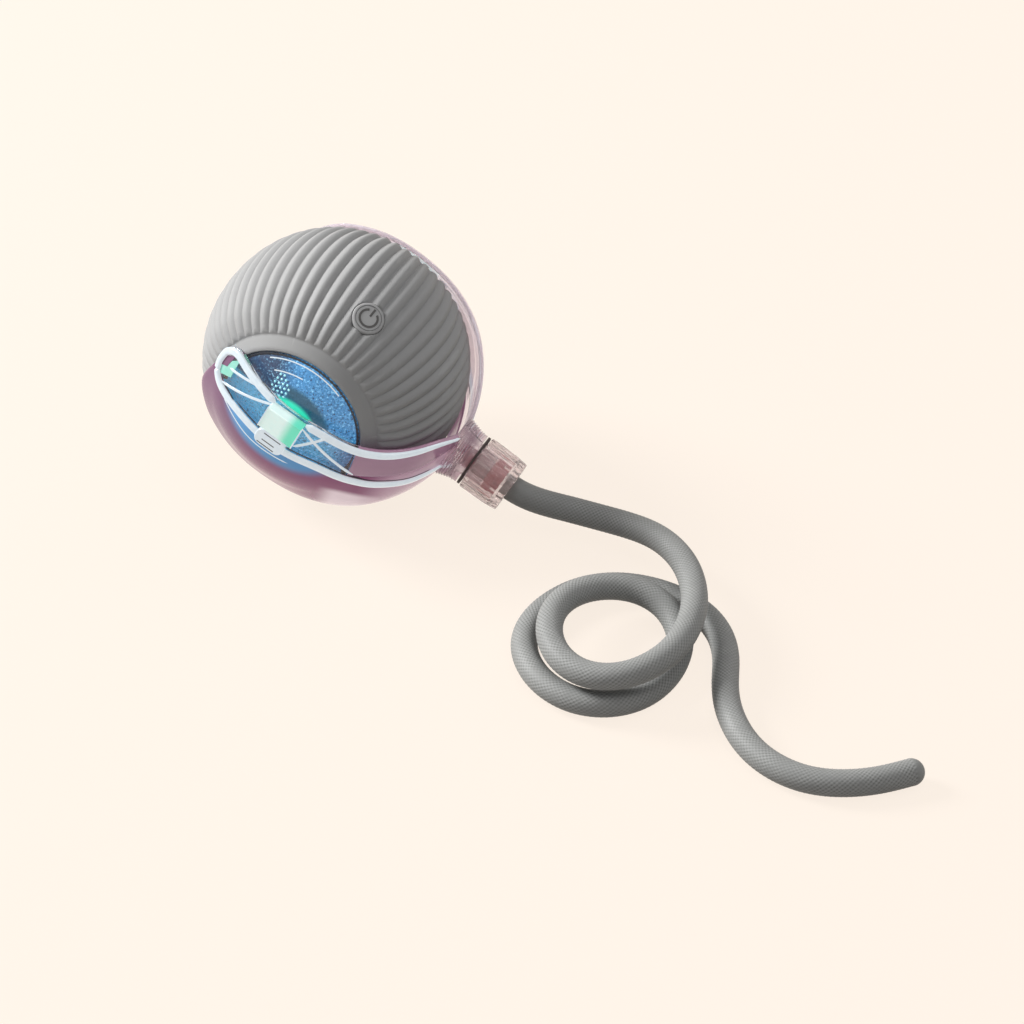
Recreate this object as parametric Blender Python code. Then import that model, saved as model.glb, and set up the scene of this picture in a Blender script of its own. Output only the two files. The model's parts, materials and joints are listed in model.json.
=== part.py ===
"""Self rolling cat ball with a trailing tail, in metres, +Z up, standing on the floor at z = 0.

A ribbed ball rolls on its belt about a level axle. Two clear arms hold the ends of the axle and
meet behind the ball in a split collar, where a bayonet nut keeps the tail. Inside the ball a motor
drives a swinging weight round the axle. Pieces on the axle are drawn with their Z axis along it.
"""

import math

import bmesh
import bpy
import numpy as np
from mathutils import Matrix, Vector

MM = 0.001

# Fits shared by all pieces
FIT_GAP = 0.3 * MM
CUT_OVERRUN = 1.5 * MM
ROUND_SIDES = 32
SMALL_SIDES = 20
TINY_SIDES = 10
SHARP_EDGE_DEG = 35.0
SPLINE_FINENESS = 24

# Ball and its ribbed sleeve
BALL_RADIUS = 32.0 * MM
BELT_DROP = 0.15 * MM
BELT_WIDTH = 9.0 * MM
RIB_COUNT = 57
RIB_DEPTH = 0.9 * MM
RIB_CREST_SHARE = 0.45
RIB_STEEP_DEG = 68.0
RIB_SHOULDER_DEG = 57.0
RIB_END_DEG = 47.5
RIB_END_STEP = 0.8 * MM
RING_OUTER_DEG = 45.5
RING_INNER_DEG = 38.0
RING_DROP = 2.1 * MM
RING_LIP = 0.4 * MM
SLEEVE_WALL = 1.0 * MM

# Shell halves inside the sleeve
SHELL_WALL = 1.7 * MM
SHELL_OPENING_DEG = 34.5
SHELL_STEPS = 5

# Windows at the two poles and the lamp domes on them
WINDOW_PROUD = 0.4 * MM
WINDOW_THICKNESS = 2.1 * MM
WINDOW_SIDE_GAP = 0.45 * MM
WINDOW_PLUG_GAP = 0.36 * MM
WINDOW_STEPS = 4
DOME_RADIUS = 5.4 * MM
DOME_RIM = 0.4 * MM
DOME_HEIGHT = 0.85 * MM
DOME_SHARES = (0.5, 0.8)

# Axle and the chassis plate
AXLE_RADIUS = 1.5 * MM
AXLE_END_PLAY = 0.5 * MM
CHASSIS_THICKNESS = 2.0 * MM
CLIP_WALL = 1.6 * MM
CLIP_THICKNESS = 0.7 * MM

# Gear pair
GEAR_MODULE = 0.6 * MM
GEAR_TEETH = 36
PINION_TEETH = 12
GEAR_WIDTH = 3.5 * MM
ADDENDUM_SHARE = 0.75
DEDENDUM_SHARE = 1.1
TOOTH_TIP_SHARE = 0.2
TOOTH_ROOT_SHARE = 0.56
PINION_OVERHANG = 0.3 * MM
SHAFT_RADIUS = 0.75 * MM

# Swinging weight
BUSH_WALL = 1.0 * MM
SWING_ARM_INSET = 0.5 * MM
SWING_ARM_THICKNESS = 1.6 * MM
SWING_HUB_RADIUS = 6.0 * MM
SWING_ARM_SPREAD_DEG = 140.0
WEIGHT_INNER_RADIUS = 6.8 * MM
WEIGHT_SHELL_CLEARANCE = 1.2 * MM
WEIGHT_BOARD_CLEARANCE = 2.1 * MM
WEIGHT_SPREAD_DEG = 150.0
SECTOR_STEPS = 10
SCREW_EDGE = 4.0 * MM
SCREW_SPREAD_DEG = 35.0
SCREW_RADIUS = 0.8 * MM
SCREW_HEAD_RADIUS = 1.6 * MM
SCREW_HEAD_HEIGHT = 0.9 * MM
SCREW_DEPTH = 4.5 * MM

# Motor, battery and electronics
MOTOR_ANGLE_DEG = -70.0
MOTOR_RADIUS = 5.0 * MM
MOTOR_SHELL_CLEARANCE = 0.9 * MM
MOTOR_BOARD_CLEARANCE = 1.6 * MM
BATTERY_SIZE_SHARES = (0.855, 0.39, 0.41)
BATTERY_OFFSET_SHARE = 0.522
BATTERY_TURN_DEG = 35.0
STRAP_THICKNESS = 0.7 * MM
STRAP_WIDTH = 6.0 * MM
BOARD_LAP = 2.25 * MM
BOARD_CLEARANCE = 0.35 * MM
BOARD_THICKNESS = 1.2 * MM
LED_COUNT = 3
LED_RADIUS = 1.5 * MM
LED_HEIGHT = 2.2 * MM
LED_CIRCLE_RADIUS = 8.0 * MM
SOCKET_WIDTH = 9.0 * MM
SOCKET_HEIGHT = 3.2 * MM
SOCKET_PINION_CLEARANCE = 2.7 * MM
SOCKET_SLOT_REACH = 3.0 * MM

# Power button, on its own axis through the middle of the ball
BUTTON_AXIS_SHARES = (0.451, 0.811, 0.372)
BUTTON_RADIUS = 3.9 * MM
BUTTON_STEM_RADIUS = 2.7 * MM
BUTTON_TRAVEL = 0.6 * MM
SWITCH_SIDE = 6.0 * MM
SWITCH_HEIGHT = 3.0 * MM
SWITCH_SETBACK = 0.7 * MM
SWITCH_BOARD_SIDE = 7.0 * MM
SWITCH_BOARD_THICKNESS = 1.0 * MM

# Clear arms, as a curved sheet laid out in degrees: along from the pole, across from the mid line
TAIL_DIP_DEG = 25.0
ARM_WALL = 1.1 * MM
ARM_RING_CLEARANCE = 1.0 * MM
ARM_RIB_CLEARANCE = 0.6 * MM
ARM_RISE_FROM_DEG = 46.0
ARM_RISE_TO_DEG = 58.0
ARM_FLARE = 1.8 * MM
ARM_TOP_EDGE_DEG = (
    (-38.5, 10.0), (-17.7, 15.8), (0.0, 16.2), (16.0, 16.0),
    (29.0, 14.5), (44.5, 12.5), (60.0, 9.5), (74.0, 6.5), (84.0, 5.0),
)
ARM_LOW_EDGE_DEG = (
    (-42.0, -36.0), (-22.0, -48.0), (0.0, -52.0), (20.0, -52.0),
    (40.0, -47.0), (58.0, -36.0), (70.0, -23.0), (78.0, -12.0), (84.0, -6.0),
)
ARM_TIP_EDGE_DEG = ((-38.5, 10.0), (-43.5, 4.0), (-46.5, -6.0), (-48.5, -20.0), (-42.0, -36.0))
ARM_ROOT_EDGE_DEG = ((84.0, 5.0), (84.0, -6.0))
ARM_ROWS = 19
ARM_TIP_ROW_SHARES = (0.0, 0.022, 0.035)
ARM_EDGE_SAMPLES = 201
RAIL_HEIGHT = 0.9 * MM
ARM_COLUMN_SHARES = (
    0.0, 0.025, 0.04, 0.13, 0.23, 0.32, 0.335, 0.36, 0.375, 0.5, 0.63, 0.76, 0.88, 1.0,
)
RAISED_COLUMN_SHARES = (0.0, 0.025, 0.335, 0.36)
HUB_LENGTH = 9.4 * MM
HUB_WIDTH = 10.6 * MM
HUB_OFFSET = 0.8 * MM
HUB_HEIGHT = 3.4 * MM
HUB_ROOF = 1.3 * MM

# Collar, nut and tail plug, along the tail's axis
COLLAR_SINK = 0.6 * MM
COLLAR_LENGTH = 6.1 * MM
COLLAR_RADIUS = 6.7 * MM
COLLAR_ROOT_RADIUS = 8.0 * MM
COLLAR_FLARE_LENGTH = 4.2 * MM
COLLAR_END_WALL = 2.9 * MM
SPIGOT_LENGTH = 5.1 * MM
SPIGOT_RADIUS = 4.6 * MM
SPIGOT_BORE_RADIUS = 2.9 * MM
LUG_OFFSET = 2.7 * MM
LUG_LENGTH = 1.6 * MM
LUG_WIDTH = 3.0 * MM
LUG_HEIGHT = 0.8 * MM
WASHER_THICKNESS = 0.6 * MM
NUT_LENGTH = 10.4 * MM
NUT_SIDES = 12
NUT_RADIUS = 6.9 * MM
NUT_END_RADIUS = 6.4 * MM
NUT_LIP = 1.2 * MM
NUT_CAVITY_RADIUS = 5.1 * MM
NUT_END_WALL = 1.9 * MM
NUT_TURN_DEG = 60.0
PLUG_FLANGE_RADIUS = 4.7 * MM
PLUG_FLANGE_LENGTH = 2.0 * MM
PLUG_BARREL_RADIUS = 3.9 * MM

# Tail: its round section and its route over the floor, in millimetres
TAIL_RADIUS = 3.2 * MM
TAIL_SAMPLES = 78
TAIL_TIP_SHARES = (0.45, 0.75, 0.92)
TAIL_LEAD = 2.55 * MM
TAIL_BEVEL_RESOLUTION = 2
TAIL_OWN_BEND_RADII = 6
LIE = 3.3
TAIL_ROUTE = (
    (52.5, 0.6, 8.2), (60.4, 2.2, 7.1), (68.2, 3.1, 6.8), (76.2, 2.7, 7.5), (83.7, 0.5, 8.9),
    (90.4, -3.6, 10.3), (96.1, -9.0, 11.4), (100.8, -15.5, 12.1), (104.2, -22.7, 12.4),
    (105.9, -30.5, 12.5), (105.7, -38.4, 12.3), (102.8, -45.9, 11.7), (97.2, -51.2, 10.8),
    (89.4, -52.7, 10.2), (82.2, -49.8, 10.4), (77.1, -43.6, 10.8), (75.1, -35.8, 10.7),
    (76.5, -28.1, 10.0), (81.2, -21.7, 9.0), (88.1, -18.2, 7.7), (95.8, -19.0, 5.9),
    (101.5, -24.0, 4.0), (104.1, -31.5, LIE), (104.3, -39.4, LIE), (101.9, -47.0, LIE),
    (96.4, -52.7, LIE), (88.8, -54.9, LIE), (81.1, -53.2, LIE), (74.6, -48.6, LIE),
    (70.2, -42.0, LIE), (68.9, -34.1, LIE), (70.4, -26.4, LIE), (74.3, -19.3, LIE),
    (80.5, -14.3, LIE), (88.0, -12.0, LIE), (96.1, -12.1, LIE), (103.6, -14.5, LIE),
    (109.9, -19.5, LIE), (114.2, -26.1, LIE), (117.3, -33.5, LIE), (120.9, -40.5, LIE),
    (125.9, -46.9, LIE), (131.9, -51.9, LIE), (139.4, -55.1, LIE), (147.2, -55.6, LIE),
    (154.9, -53.1, LIE), (161.4, -48.7, LIE), (167.1, -42.9, LIE),
)

# Worked out from the sizes above: the ball and its shell
RIB_PITCH = math.tau / RIB_COUNT
BELT_RADIUS = BALL_RADIUS - BELT_DROP
BALL_HEIGHT = BELT_RADIUS * math.cos(RIB_PITCH * RIB_CREST_SHARE / 2)
RING_RADIUS = BALL_RADIUS - RING_DROP
RIB_END_RADIUS = RING_RADIUS + RIB_END_STEP
WINDOW_HOLE_RADIUS = RING_RADIUS * math.sin(math.radians(RING_INNER_DEG)) - RING_LIP
SHELL_RADIUS = RING_RADIUS - SLEEVE_WALL - FIT_GAP
SHELL_BORE = SHELL_RADIUS - SHELL_WALL
WINDOW_RADIUS = SHELL_RADIUS + FIT_GAP + WINDOW_PROUD
SWITCH_TOP_RADIUS = SHELL_BORE - SWITCH_SETBACK

# The arms, the axle and the tail's fastening
ARM_INNER_RADIUS = RING_RADIUS + ARM_RING_CLEARANCE
ARM_RISE = BALL_RADIUS + ARM_RIB_CLEARANCE - ARM_INNER_RADIUS
HUB_TOP = ARM_INNER_RADIUS + HUB_HEIGHT
AXLE_LENGTH = 2 * (HUB_TOP - HUB_ROOF - AXLE_END_PLAY)
AXLE_HOLE_RADIUS = AXLE_RADIUS + FIT_GAP
COLLAR_START = ARM_INNER_RADIUS + ARM_RISE + ARM_FLARE - COLLAR_SINK
COLLAR_FACE = COLLAR_START + COLLAR_LENGTH
BORE_START = COLLAR_START + COLLAR_END_WALL
SPIGOT_END = COLLAR_FACE + SPIGOT_LENGTH
LUG_START = COLLAR_FACE + LUG_OFFSET
NUT_START = COLLAR_FACE + WASHER_THICKNESS + 2 * FIT_GAP
NUT_END = NUT_START + NUT_LENGTH
TAIL_START = NUT_END - NUT_END_WALL - FIT_GAP / 2

# What is inside the shell, which its bore and the lamp boards bound
BOARD_RADIUS = SHELL_BORE * math.sin(math.radians(SHELL_OPENING_DEG)) + BOARD_LAP
BOARD_HEIGHT = math.sqrt(SHELL_BORE**2 - BOARD_RADIUS**2) - BOARD_THICKNESS - BOARD_CLEARANCE
PITCH_DISTANCE = GEAR_MODULE * (GEAR_TEETH + PINION_TEETH) / 2
CHASSIS_FACE = CHASSIS_THICKNESS / 2 + FIT_GAP
GEAR_FACE = -CHASSIS_FACE
SWING_ARM_FACE = GEAR_FACE - GEAR_WIDTH - 2 * FIT_GAP
WEIGHT_FACE = SWING_ARM_FACE - SWING_ARM_THICKNESS - FIT_GAP
WEIGHT_BACK = WEIGHT_BOARD_CLEARANCE - BOARD_HEIGHT
WEIGHT_RADIUS = math.sqrt((SHELL_BORE - WEIGHT_SHELL_CLEARANCE) ** 2 - WEIGHT_BACK**2)
SWING_ARM_RADIUS = WEIGHT_RADIUS - SWING_ARM_INSET
SCREW_CIRCLE_RADIUS = SWING_ARM_RADIUS - SCREW_EDGE
CLIP_FACE = WEIGHT_BACK - FIT_GAP
MOTOR_REACH = math.sqrt((SHELL_BORE - MOTOR_SHELL_CLEARANCE) ** 2 - (PITCH_DISTANCE + MOTOR_RADIUS) ** 2)
MOTOR_END = min(MOTOR_REACH, BOARD_HEIGHT - MOTOR_BOARD_CLEARANCE)
PINION_TIP_RADIUS = GEAR_MODULE * (PINION_TEETH / 2 + ADDENDUM_SHARE)
SOCKET_INNER_END = PITCH_DISTANCE + PINION_TIP_RADIUS + SOCKET_PINION_CLEARANCE
BATTERY_SIZE = tuple(SHELL_BORE * share for share in BATTERY_SIZE_SHARES)
BATTERY_OFFSET = SHELL_BORE * BATTERY_OFFSET_SHARE


def clear_scene():
    for old in list(bpy.data.objects):
        bpy.data.objects.remove(old, do_unlink=True)


def make_material(name, colour, roughness, metallic=0.0, alpha=1.0):
    """A plain Principled surface in a piece's own colour."""
    material = bpy.data.materials.new(name)
    material.use_nodes = True
    shader = material.node_tree.nodes["Principled BSDF"]
    shader.inputs["Base Color"].default_value = (*colour, 1.0)
    shader.inputs["Roughness"].default_value = roughness
    shader.inputs["Metallic"].default_value = metallic
    shader.inputs["Alpha"].default_value = alpha
    material.diffuse_color = (*colour, alpha)
    return material


def make_materials():
    return {
        "silicone": make_material("grey_silicone", (0.26, 0.26, 0.255), 0.6),
        "cord": make_material("tail_weave", (0.22, 0.225, 0.22), 0.7),
        "clear": make_material("clear_arms", (0.78, 0.62, 0.70), 0.08, alpha=0.35),
        "window": make_material("blue_window", (0.10, 0.36, 0.62), 0.2, alpha=0.85),
        "lamp": make_material("green_lamp", (0.25, 0.85, 0.70), 0.3),
        "shell": make_material("pale_shell", (0.62, 0.64, 0.66), 0.35),
        "plug": make_material("maroon_plug", (0.30, 0.07, 0.08), 0.45),
        "rubber": make_material("dark_rubber", (0.05, 0.035, 0.035), 0.8),
        "steel": make_material("steel", (0.60, 0.60, 0.62), 0.3, 1.0),
        "brass": make_material("brass", (0.72, 0.53, 0.22), 0.35, 1.0),
        "board": make_material("circuit_board", (0.03, 0.20, 0.10), 0.5),
        "black": make_material("black_plastic", (0.03, 0.03, 0.035), 0.45),
        "gear": make_material("gear_plastic", (0.80, 0.80, 0.76), 0.4),
        "battery": make_material("battery_wrap", (0.10, 0.22, 0.45), 0.4),
    }


def make_frame(name, parent=None, matrix=None):
    """An empty whose axes the pieces of one body follow."""
    frame = bpy.data.objects.new(name, None)
    bpy.context.scene.collection.objects.link(frame)
    frame.parent = parent
    frame.matrix_local = matrix or Matrix()
    return frame


def make_object(name, mesh, material, frame, matrix=None):
    piece = bpy.data.objects.new(name, mesh)
    bpy.context.scene.collection.objects.link(piece)
    piece.parent = frame
    piece.matrix_local = matrix or Matrix()
    if material and not mesh.materials:
        mesh.materials.append(material)
    return piece


def mesh_from(name, points, faces):
    """A closed mesh with its faces turned outwards and its round stretches shaded smooth."""
    mesh = bpy.data.meshes.new(name)
    mesh.from_pydata(points, [], faces)
    work = bmesh.new()
    work.from_mesh(mesh)
    bmesh.ops.recalc_face_normals(work, faces=work.faces)
    work.to_mesh(mesh)
    work.free()
    mesh.shade_smooth()
    mesh.set_sharp_from_angle(angle=math.radians(SHARP_EDGE_DEG))
    return mesh


def turned_mesh(name, profile, sides=ROUND_SIDES):
    """A profile of (radius, height) pairs turned round Z. A radius of zero closes on the axis."""
    points = []
    rings = []
    for radius, height in profile:
        if radius == 0:
            rings.append([len(points)])
            points.append((0, 0, height))
            continue
        rings.append([len(points) + k for k in range(sides)])
        for k in range(sides):
            angle = math.tau * k / sides
            points.append((radius * math.cos(angle), radius * math.sin(angle), height))
    faces = []
    for first, second in zip(rings, rings[1:] + rings[:1]):
        if len(first) == 1 and len(second) == 1:
            continue
        for k in range(sides):
            after = (k + 1) % sides
            corners = [first[k % len(first)], first[after % len(first)]]
            corners += [second[after % len(second)], second[k % len(second)]]
            faces.append(list(dict.fromkeys(corners)))
    return mesh_from(name, points, faces)


def tube_mesh(name, inner, outer, low, high, sides=SMALL_SIDES):
    return turned_mesh(name, [(inner, low), (outer, low), (outer, high), (inner, high)], sides)


def rod_mesh(name, radius, low, high, sides=SMALL_SIDES):
    return turned_mesh(name, [(0, low), (radius, low), (radius, high), (0, high)], sides)


def extruded_mesh(name, outline, low, high):
    """A flat outline of (x, y) pairs drawn from one height to another."""
    count = len(outline)
    points = [(x, y, low) for x, y in outline] + [(x, y, high) for x, y in outline]
    faces = [list(range(count)), list(range(count, 2 * count))]
    for k in range(count):
        after = (k + 1) % count
        faces.append([k, after, count + after, count + k])
    return mesh_from(name, points, faces)


def box_mesh(name, low, high):
    outline = [(low[0], low[1]), (high[0], low[1]), (high[0], high[1]), (low[0], high[1])]
    return extruded_mesh(name, outline, low[2], high[2])


def combine(piece, tool_mesh, operation, frame, matrix=None):
    """Cuts or joins a hidden shape with the piece by an exact Boolean."""
    name = f"{piece.name}_{operation.lower()}_{len(piece.modifiers)}"
    tool = make_object(name, tool_mesh, None, frame, matrix)
    tool.hide_render = True
    tool.display_type = "WIRE"
    step = piece.modifiers.new(tool.name, "BOOLEAN")
    step.operation = operation
    step.object = tool
    step.solver = "EXACT"


def arc(radius, start_deg, end_deg, steps):
    """Points (radius from Z, height) on a circle round the middle, by angle from the pole."""
    angles = [math.radians(start_deg + (end_deg - start_deg) * k / steps) for k in range(steps + 1)]
    return [(radius * math.sin(angle), radius * math.cos(angle)) for angle in angles]


def flipped(profile):
    """The same profile on the other side of the middle plane."""
    return [(radius, -height) for radius, height in profile]


def smooth_curve(route, count):
    """Evenly spaced points on the natural cubic spline through a route."""
    route = np.array(route, dtype=float)
    steps = np.linalg.norm(np.diff(route, axis=0), axis=1)
    at = np.concatenate([[0.0], np.cumsum(steps)])
    size = len(route)
    system = np.eye(size)
    target = np.zeros(route.shape)
    slopes = np.diff(route, axis=0) / steps[:, None]
    for k in range(1, size - 1):
        system[k, k - 1 : k + 2] = steps[k - 1], 2 * (steps[k - 1] + steps[k]), steps[k]
        target[k] = 6 * (slopes[k] - slopes[k - 1])
    bend = np.linalg.solve(system, target)

    def place(where):
        part = np.clip(np.searchsorted(at, where, side="right") - 1, 0, size - 2)
        after = (where - at[part])[:, None]
        before = (at[part + 1] - where)[:, None]
        span = steps[part][:, None]
        start = route[part] / span - bend[part] * span / 6
        end = route[part + 1] / span - bend[part + 1] * span / 6
        curve = (bend[part] * before**3 + bend[part + 1] * after**3) / (6 * span)
        return curve + start * before + end * after

    fine = place(np.linspace(0.0, at[-1], SPLINE_FINENESS * count))
    along = np.concatenate([[0.0], np.cumsum(np.linalg.norm(np.diff(fine, axis=0), axis=1))])
    even = np.linspace(0.0, along[-1], count)
    return np.stack([np.interp(even, along, fine[:, axis]) for axis in range(route.shape[1])], axis=1)


def sleeve_rows():
    """(height, crest radius, groove radius) of the sleeve's rings from the front pole to the belt."""
    rows = []
    for angle_deg, crest, groove in (
        (RING_INNER_DEG, RING_RADIUS, RING_RADIUS),
        (RING_OUTER_DEG, RING_RADIUS, RING_RADIUS),
        (RIB_END_DEG, RIB_END_RADIUS, RING_RADIUS),
        (RIB_SHOULDER_DEG, BALL_RADIUS, BALL_RADIUS - RIB_DEPTH),
        (RIB_STEEP_DEG, BALL_RADIUS, BALL_RADIUS - RIB_DEPTH),
    ):
        height = crest * math.cos(math.radians(angle_deg))
        side = math.sin(math.radians(angle_deg))
        rows.append((height, crest * side, groove * side))
    rows.append((BELT_WIDTH / 2, BELT_RADIUS, BELT_RADIUS - RIB_DEPTH))
    return rows


def make_sleeve(materials, frame, button_frame):
    """The ribbed silicone sleeve: ribs run from window to window, and one stands on the floor."""
    front = sleeve_rows()
    rows = front + [(-height, crest, groove) for height, crest, groove in reversed(front)]
    half_crest = RIB_PITCH * RIB_CREST_SHARE / 2
    points = []
    for height, crest, groove in rows:
        for rib in range(RIB_COUNT):
            middle = rib * RIB_PITCH - math.pi / 2
            for angle, radius in (
                (middle - half_crest, crest),
                (middle + half_crest, crest),
                (middle + RIB_PITCH / 2, groove),
            ):
                points.append((radius * math.cos(angle), radius * math.sin(angle), height))
    columns = 3 * RIB_COUNT
    faces = [list(range(columns)), list(range(columns * (len(rows) - 1), columns * len(rows)))]
    for row in range(len(rows) - 1):
        for column in range(columns):
            after = (column + 1) % columns
            low = row * columns
            high = low + columns
            faces.append([low + column, low + after, high + after, high + column])
    mesh = mesh_from("ribbed_sleeve", points, faces)
    sleeve = make_object("ribbed_sleeve", mesh, materials["silicone"], frame)
    steps = SHELL_STEPS + 2
    span_deg = 180 - 2 * RING_INNER_DEG
    bore_radius = (SHELL_RADIUS + FIT_GAP) / math.cos(math.radians(span_deg / steps / 2))
    bore = arc(bore_radius, RING_INNER_DEG, 180 - RING_INNER_DEG, steps)
    reach = RING_RADIUS + CUT_OVERRUN
    bore = [(0, reach), (WINDOW_HOLE_RADIUS, reach), *bore, (WINDOW_HOLE_RADIUS, -reach), (0, -reach)]
    combine(sleeve, turned_mesh("sleeve_bore", bore), "DIFFERENCE", frame)
    hole = rod_mesh("button_hole", BUTTON_RADIUS + FIT_GAP, SHELL_BORE, BALL_RADIUS + CUT_OVERRUN)
    combine(sleeve, hole, "DIFFERENCE", button_frame)
    return sleeve


def make_shells(materials, frame, button_frame):
    """Two rigid half shells that meet at the belt, each open at its pole for the window."""
    rim = FIT_GAP / 2
    edge_deg = 90 - math.degrees(rim / SHELL_RADIUS)
    profile = arc(SHELL_RADIUS, SHELL_OPENING_DEG, edge_deg, SHELL_STEPS)
    profile += reversed(arc(SHELL_BORE, SHELL_OPENING_DEG, edge_deg, SHELL_STEPS))
    front = make_object("front_shell", turned_mesh("front_shell", profile), materials["shell"], frame)
    hole = rod_mesh("stem_hole", BUTTON_STEM_RADIUS + FIT_GAP, SHELL_BORE - CUT_OVERRUN, BALL_RADIUS)
    combine(front, hole, "DIFFERENCE", button_frame)
    back = make_object("back_shell", turned_mesh("back_shell", flipped(profile)), materials["shell"], frame)
    half_slot = SOCKET_WIDTH / 2 + FIT_GAP
    slot = box_mesh(
        "charge_slot",
        (-half_slot, -BALL_RADIUS, -CHASSIS_FACE - SOCKET_HEIGHT - FIT_GAP),
        (half_slot, SOCKET_SLOT_REACH - SHELL_BORE, -CHASSIS_THICKNESS / 2),
    )
    combine(back, slot, "DIFFERENCE", frame)


def window_profile():
    """A thick lens that drops into the shell's opening and laps over its rim."""
    lap = SHELL_RADIUS + FIT_GAP
    edge_deg = math.degrees(math.asin((WINDOW_HOLE_RADIUS - WINDOW_SIDE_GAP) / WINDOW_RADIUS))
    plug_deg = SHELL_OPENING_DEG - math.degrees(WINDOW_PLUG_GAP / SHELL_BORE)
    bore_deg = math.degrees(math.asin(AXLE_HOLE_RADIUS / WINDOW_RADIUS))
    inner = WINDOW_RADIUS - WINDOW_THICKNESS
    outside = arc(WINDOW_RADIUS, bore_deg, edge_deg, WINDOW_STEPS)
    underside = arc(lap, edge_deg, plug_deg, 1)
    inside = arc(inner, plug_deg, math.degrees(math.asin(AXLE_HOLE_RADIUS / inner)), WINDOW_STEPS)
    return outside + underside + inside


def dome_profile():
    """A low ring dome that sits on the window round the axle."""
    seat = WINDOW_RADIUS + FIT_GAP
    bore_deg = math.degrees(math.asin(AXLE_HOLE_RADIUS / seat))
    rim_deg = math.degrees(math.asin(DOME_RADIUS / seat))
    profile = arc(seat, rim_deg, bore_deg, 2)
    top = seat + DOME_HEIGHT
    profile.append((AXLE_HOLE_RADIUS, math.sqrt(top**2 - AXLE_HOLE_RADIUS**2)))
    for share in DOME_SHARES:
        radius = DOME_RADIUS * share
        lift = DOME_RIM + (DOME_HEIGHT - DOME_RIM) * (1 - share**2)
        profile.append((radius, math.sqrt((seat + lift) ** 2 - radius**2)))
    rim_height = math.sqrt(seat**2 - DOME_RADIUS**2)
    profile.append((DOME_RADIUS, rim_height + DOME_RIM))
    return profile


def make_windows(materials, frame):
    for side, turn in (("front", list), ("back", flipped)):
        name = f"{side}_window"
        make_object(name, turned_mesh(name, turn(window_profile())), materials["window"], frame)
        name = f"{side}_lamp_dome"
        mesh = turned_mesh(name, turn(dome_profile()), SMALL_SIDES)
        make_object(name, mesh, materials["lamp"], frame)


def make_chassis(materials, frame, motor_frame):
    """The axle, the plate that the two half shells clamp, and what is fixed to the plate."""
    half = AXLE_LENGTH / 2
    make_object("axle", rod_mesh("axle", AXLE_RADIUS, -half, half), materials["steel"], frame)
    low = -CHASSIS_THICKNESS / 2
    radius = SHELL_BORE * math.cos(math.pi / ROUND_SIDES) - FIT_GAP
    plate_mesh = tube_mesh("chassis_plate", AXLE_HOLE_RADIUS, radius, low, -low, ROUND_SIDES)
    plate = make_object("chassis_plate", plate_mesh, materials["black"], frame)
    reach = CHASSIS_THICKNESS / 2 + CUT_OVERRUN
    hole = rod_mesh("shaft_hole", SHAFT_RADIUS + 2 * FIT_GAP, -reach, reach)
    combine(plate, hole, "DIFFERENCE", motor_frame)
    motor = rod_mesh("motor", MOTOR_RADIUS, CHASSIS_FACE, MOTOR_END)
    make_object("motor", motor, materials["steel"], motor_frame)
    clip_radius = AXLE_HOLE_RADIUS + CLIP_WALL
    clip = tube_mesh("axle_clip", AXLE_HOLE_RADIUS, clip_radius, CLIP_FACE - CLIP_THICKNESS, CLIP_FACE)
    make_object("axle_clip", clip, materials["steel"], frame)


def make_battery(materials, frame):
    """The cell and the strap that holds it to the plate, away from the power button."""
    wide, tall, deep = BATTERY_SIZE
    place = Matrix.Rotation(math.radians(BATTERY_TURN_DEG), 4, "Z")
    place @= Matrix.Translation((0, BATTERY_OFFSET, CHASSIS_FACE))
    cell = box_mesh("battery", (-wide / 2, -tall / 2, 0), (wide / 2, tall / 2, deep))
    make_object("battery", cell, materials["battery"], frame, place)
    near = tall / 2 + FIT_GAP
    far = near + STRAP_THICKNESS
    roof = deep + FIT_GAP
    outline = [
        (-far, 0), (-near, 0), (-near, roof), (near, roof),
        (near, 0), (far, 0), (far, roof + STRAP_THICKNESS), (-far, roof + STRAP_THICKNESS),
    ]
    strap = extruded_mesh("battery_strap", outline, -STRAP_WIDTH / 2, STRAP_WIDTH / 2)
    upended = Matrix(((0, 0, 1, 0), (1, 0, 0, 0), (0, 1, 0, 0), (0, 0, 0, 1)))
    make_object("battery_strap", strap, materials["black"], frame, place @ upended)


def make_boards(materials, frame):
    """A round lamp board behind each window, with its light-emitting diodes."""
    for side, sign in (("front", 1), ("back", -1)):
        seat = sign * BOARD_HEIGHT
        face = seat + sign * BOARD_THICKNESS
        hole = AXLE_HOLE_RADIUS + FIT_GAP
        name = f"{side}_lamp_board"
        mesh = tube_mesh(name, hole, BOARD_RADIUS, min(seat, face), max(seat, face), ROUND_SIDES)
        make_object(name, mesh, materials["board"], frame)
        foot = face + sign * FIT_GAP
        top = foot + sign * LED_HEIGHT
        shoulder = foot + sign * (LED_HEIGHT - LED_RADIUS / 2)
        profile = [(0, foot), (LED_RADIUS, foot), (LED_RADIUS, shoulder), (LED_RADIUS / 2, top), (0, top)]
        for number in range(LED_COUNT):
            angle = math.tau * number / LED_COUNT + math.pi / 2
            spot = (LED_CIRCLE_RADIUS * math.cos(angle), LED_CIRCLE_RADIUS * math.sin(angle), 0)
            name = f"{side}_led_{number + 1}"
            led = turned_mesh(name, profile, TINY_SIDES)
            make_object(name, led, materials["lamp"], frame, Matrix.Translation(spot))


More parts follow.
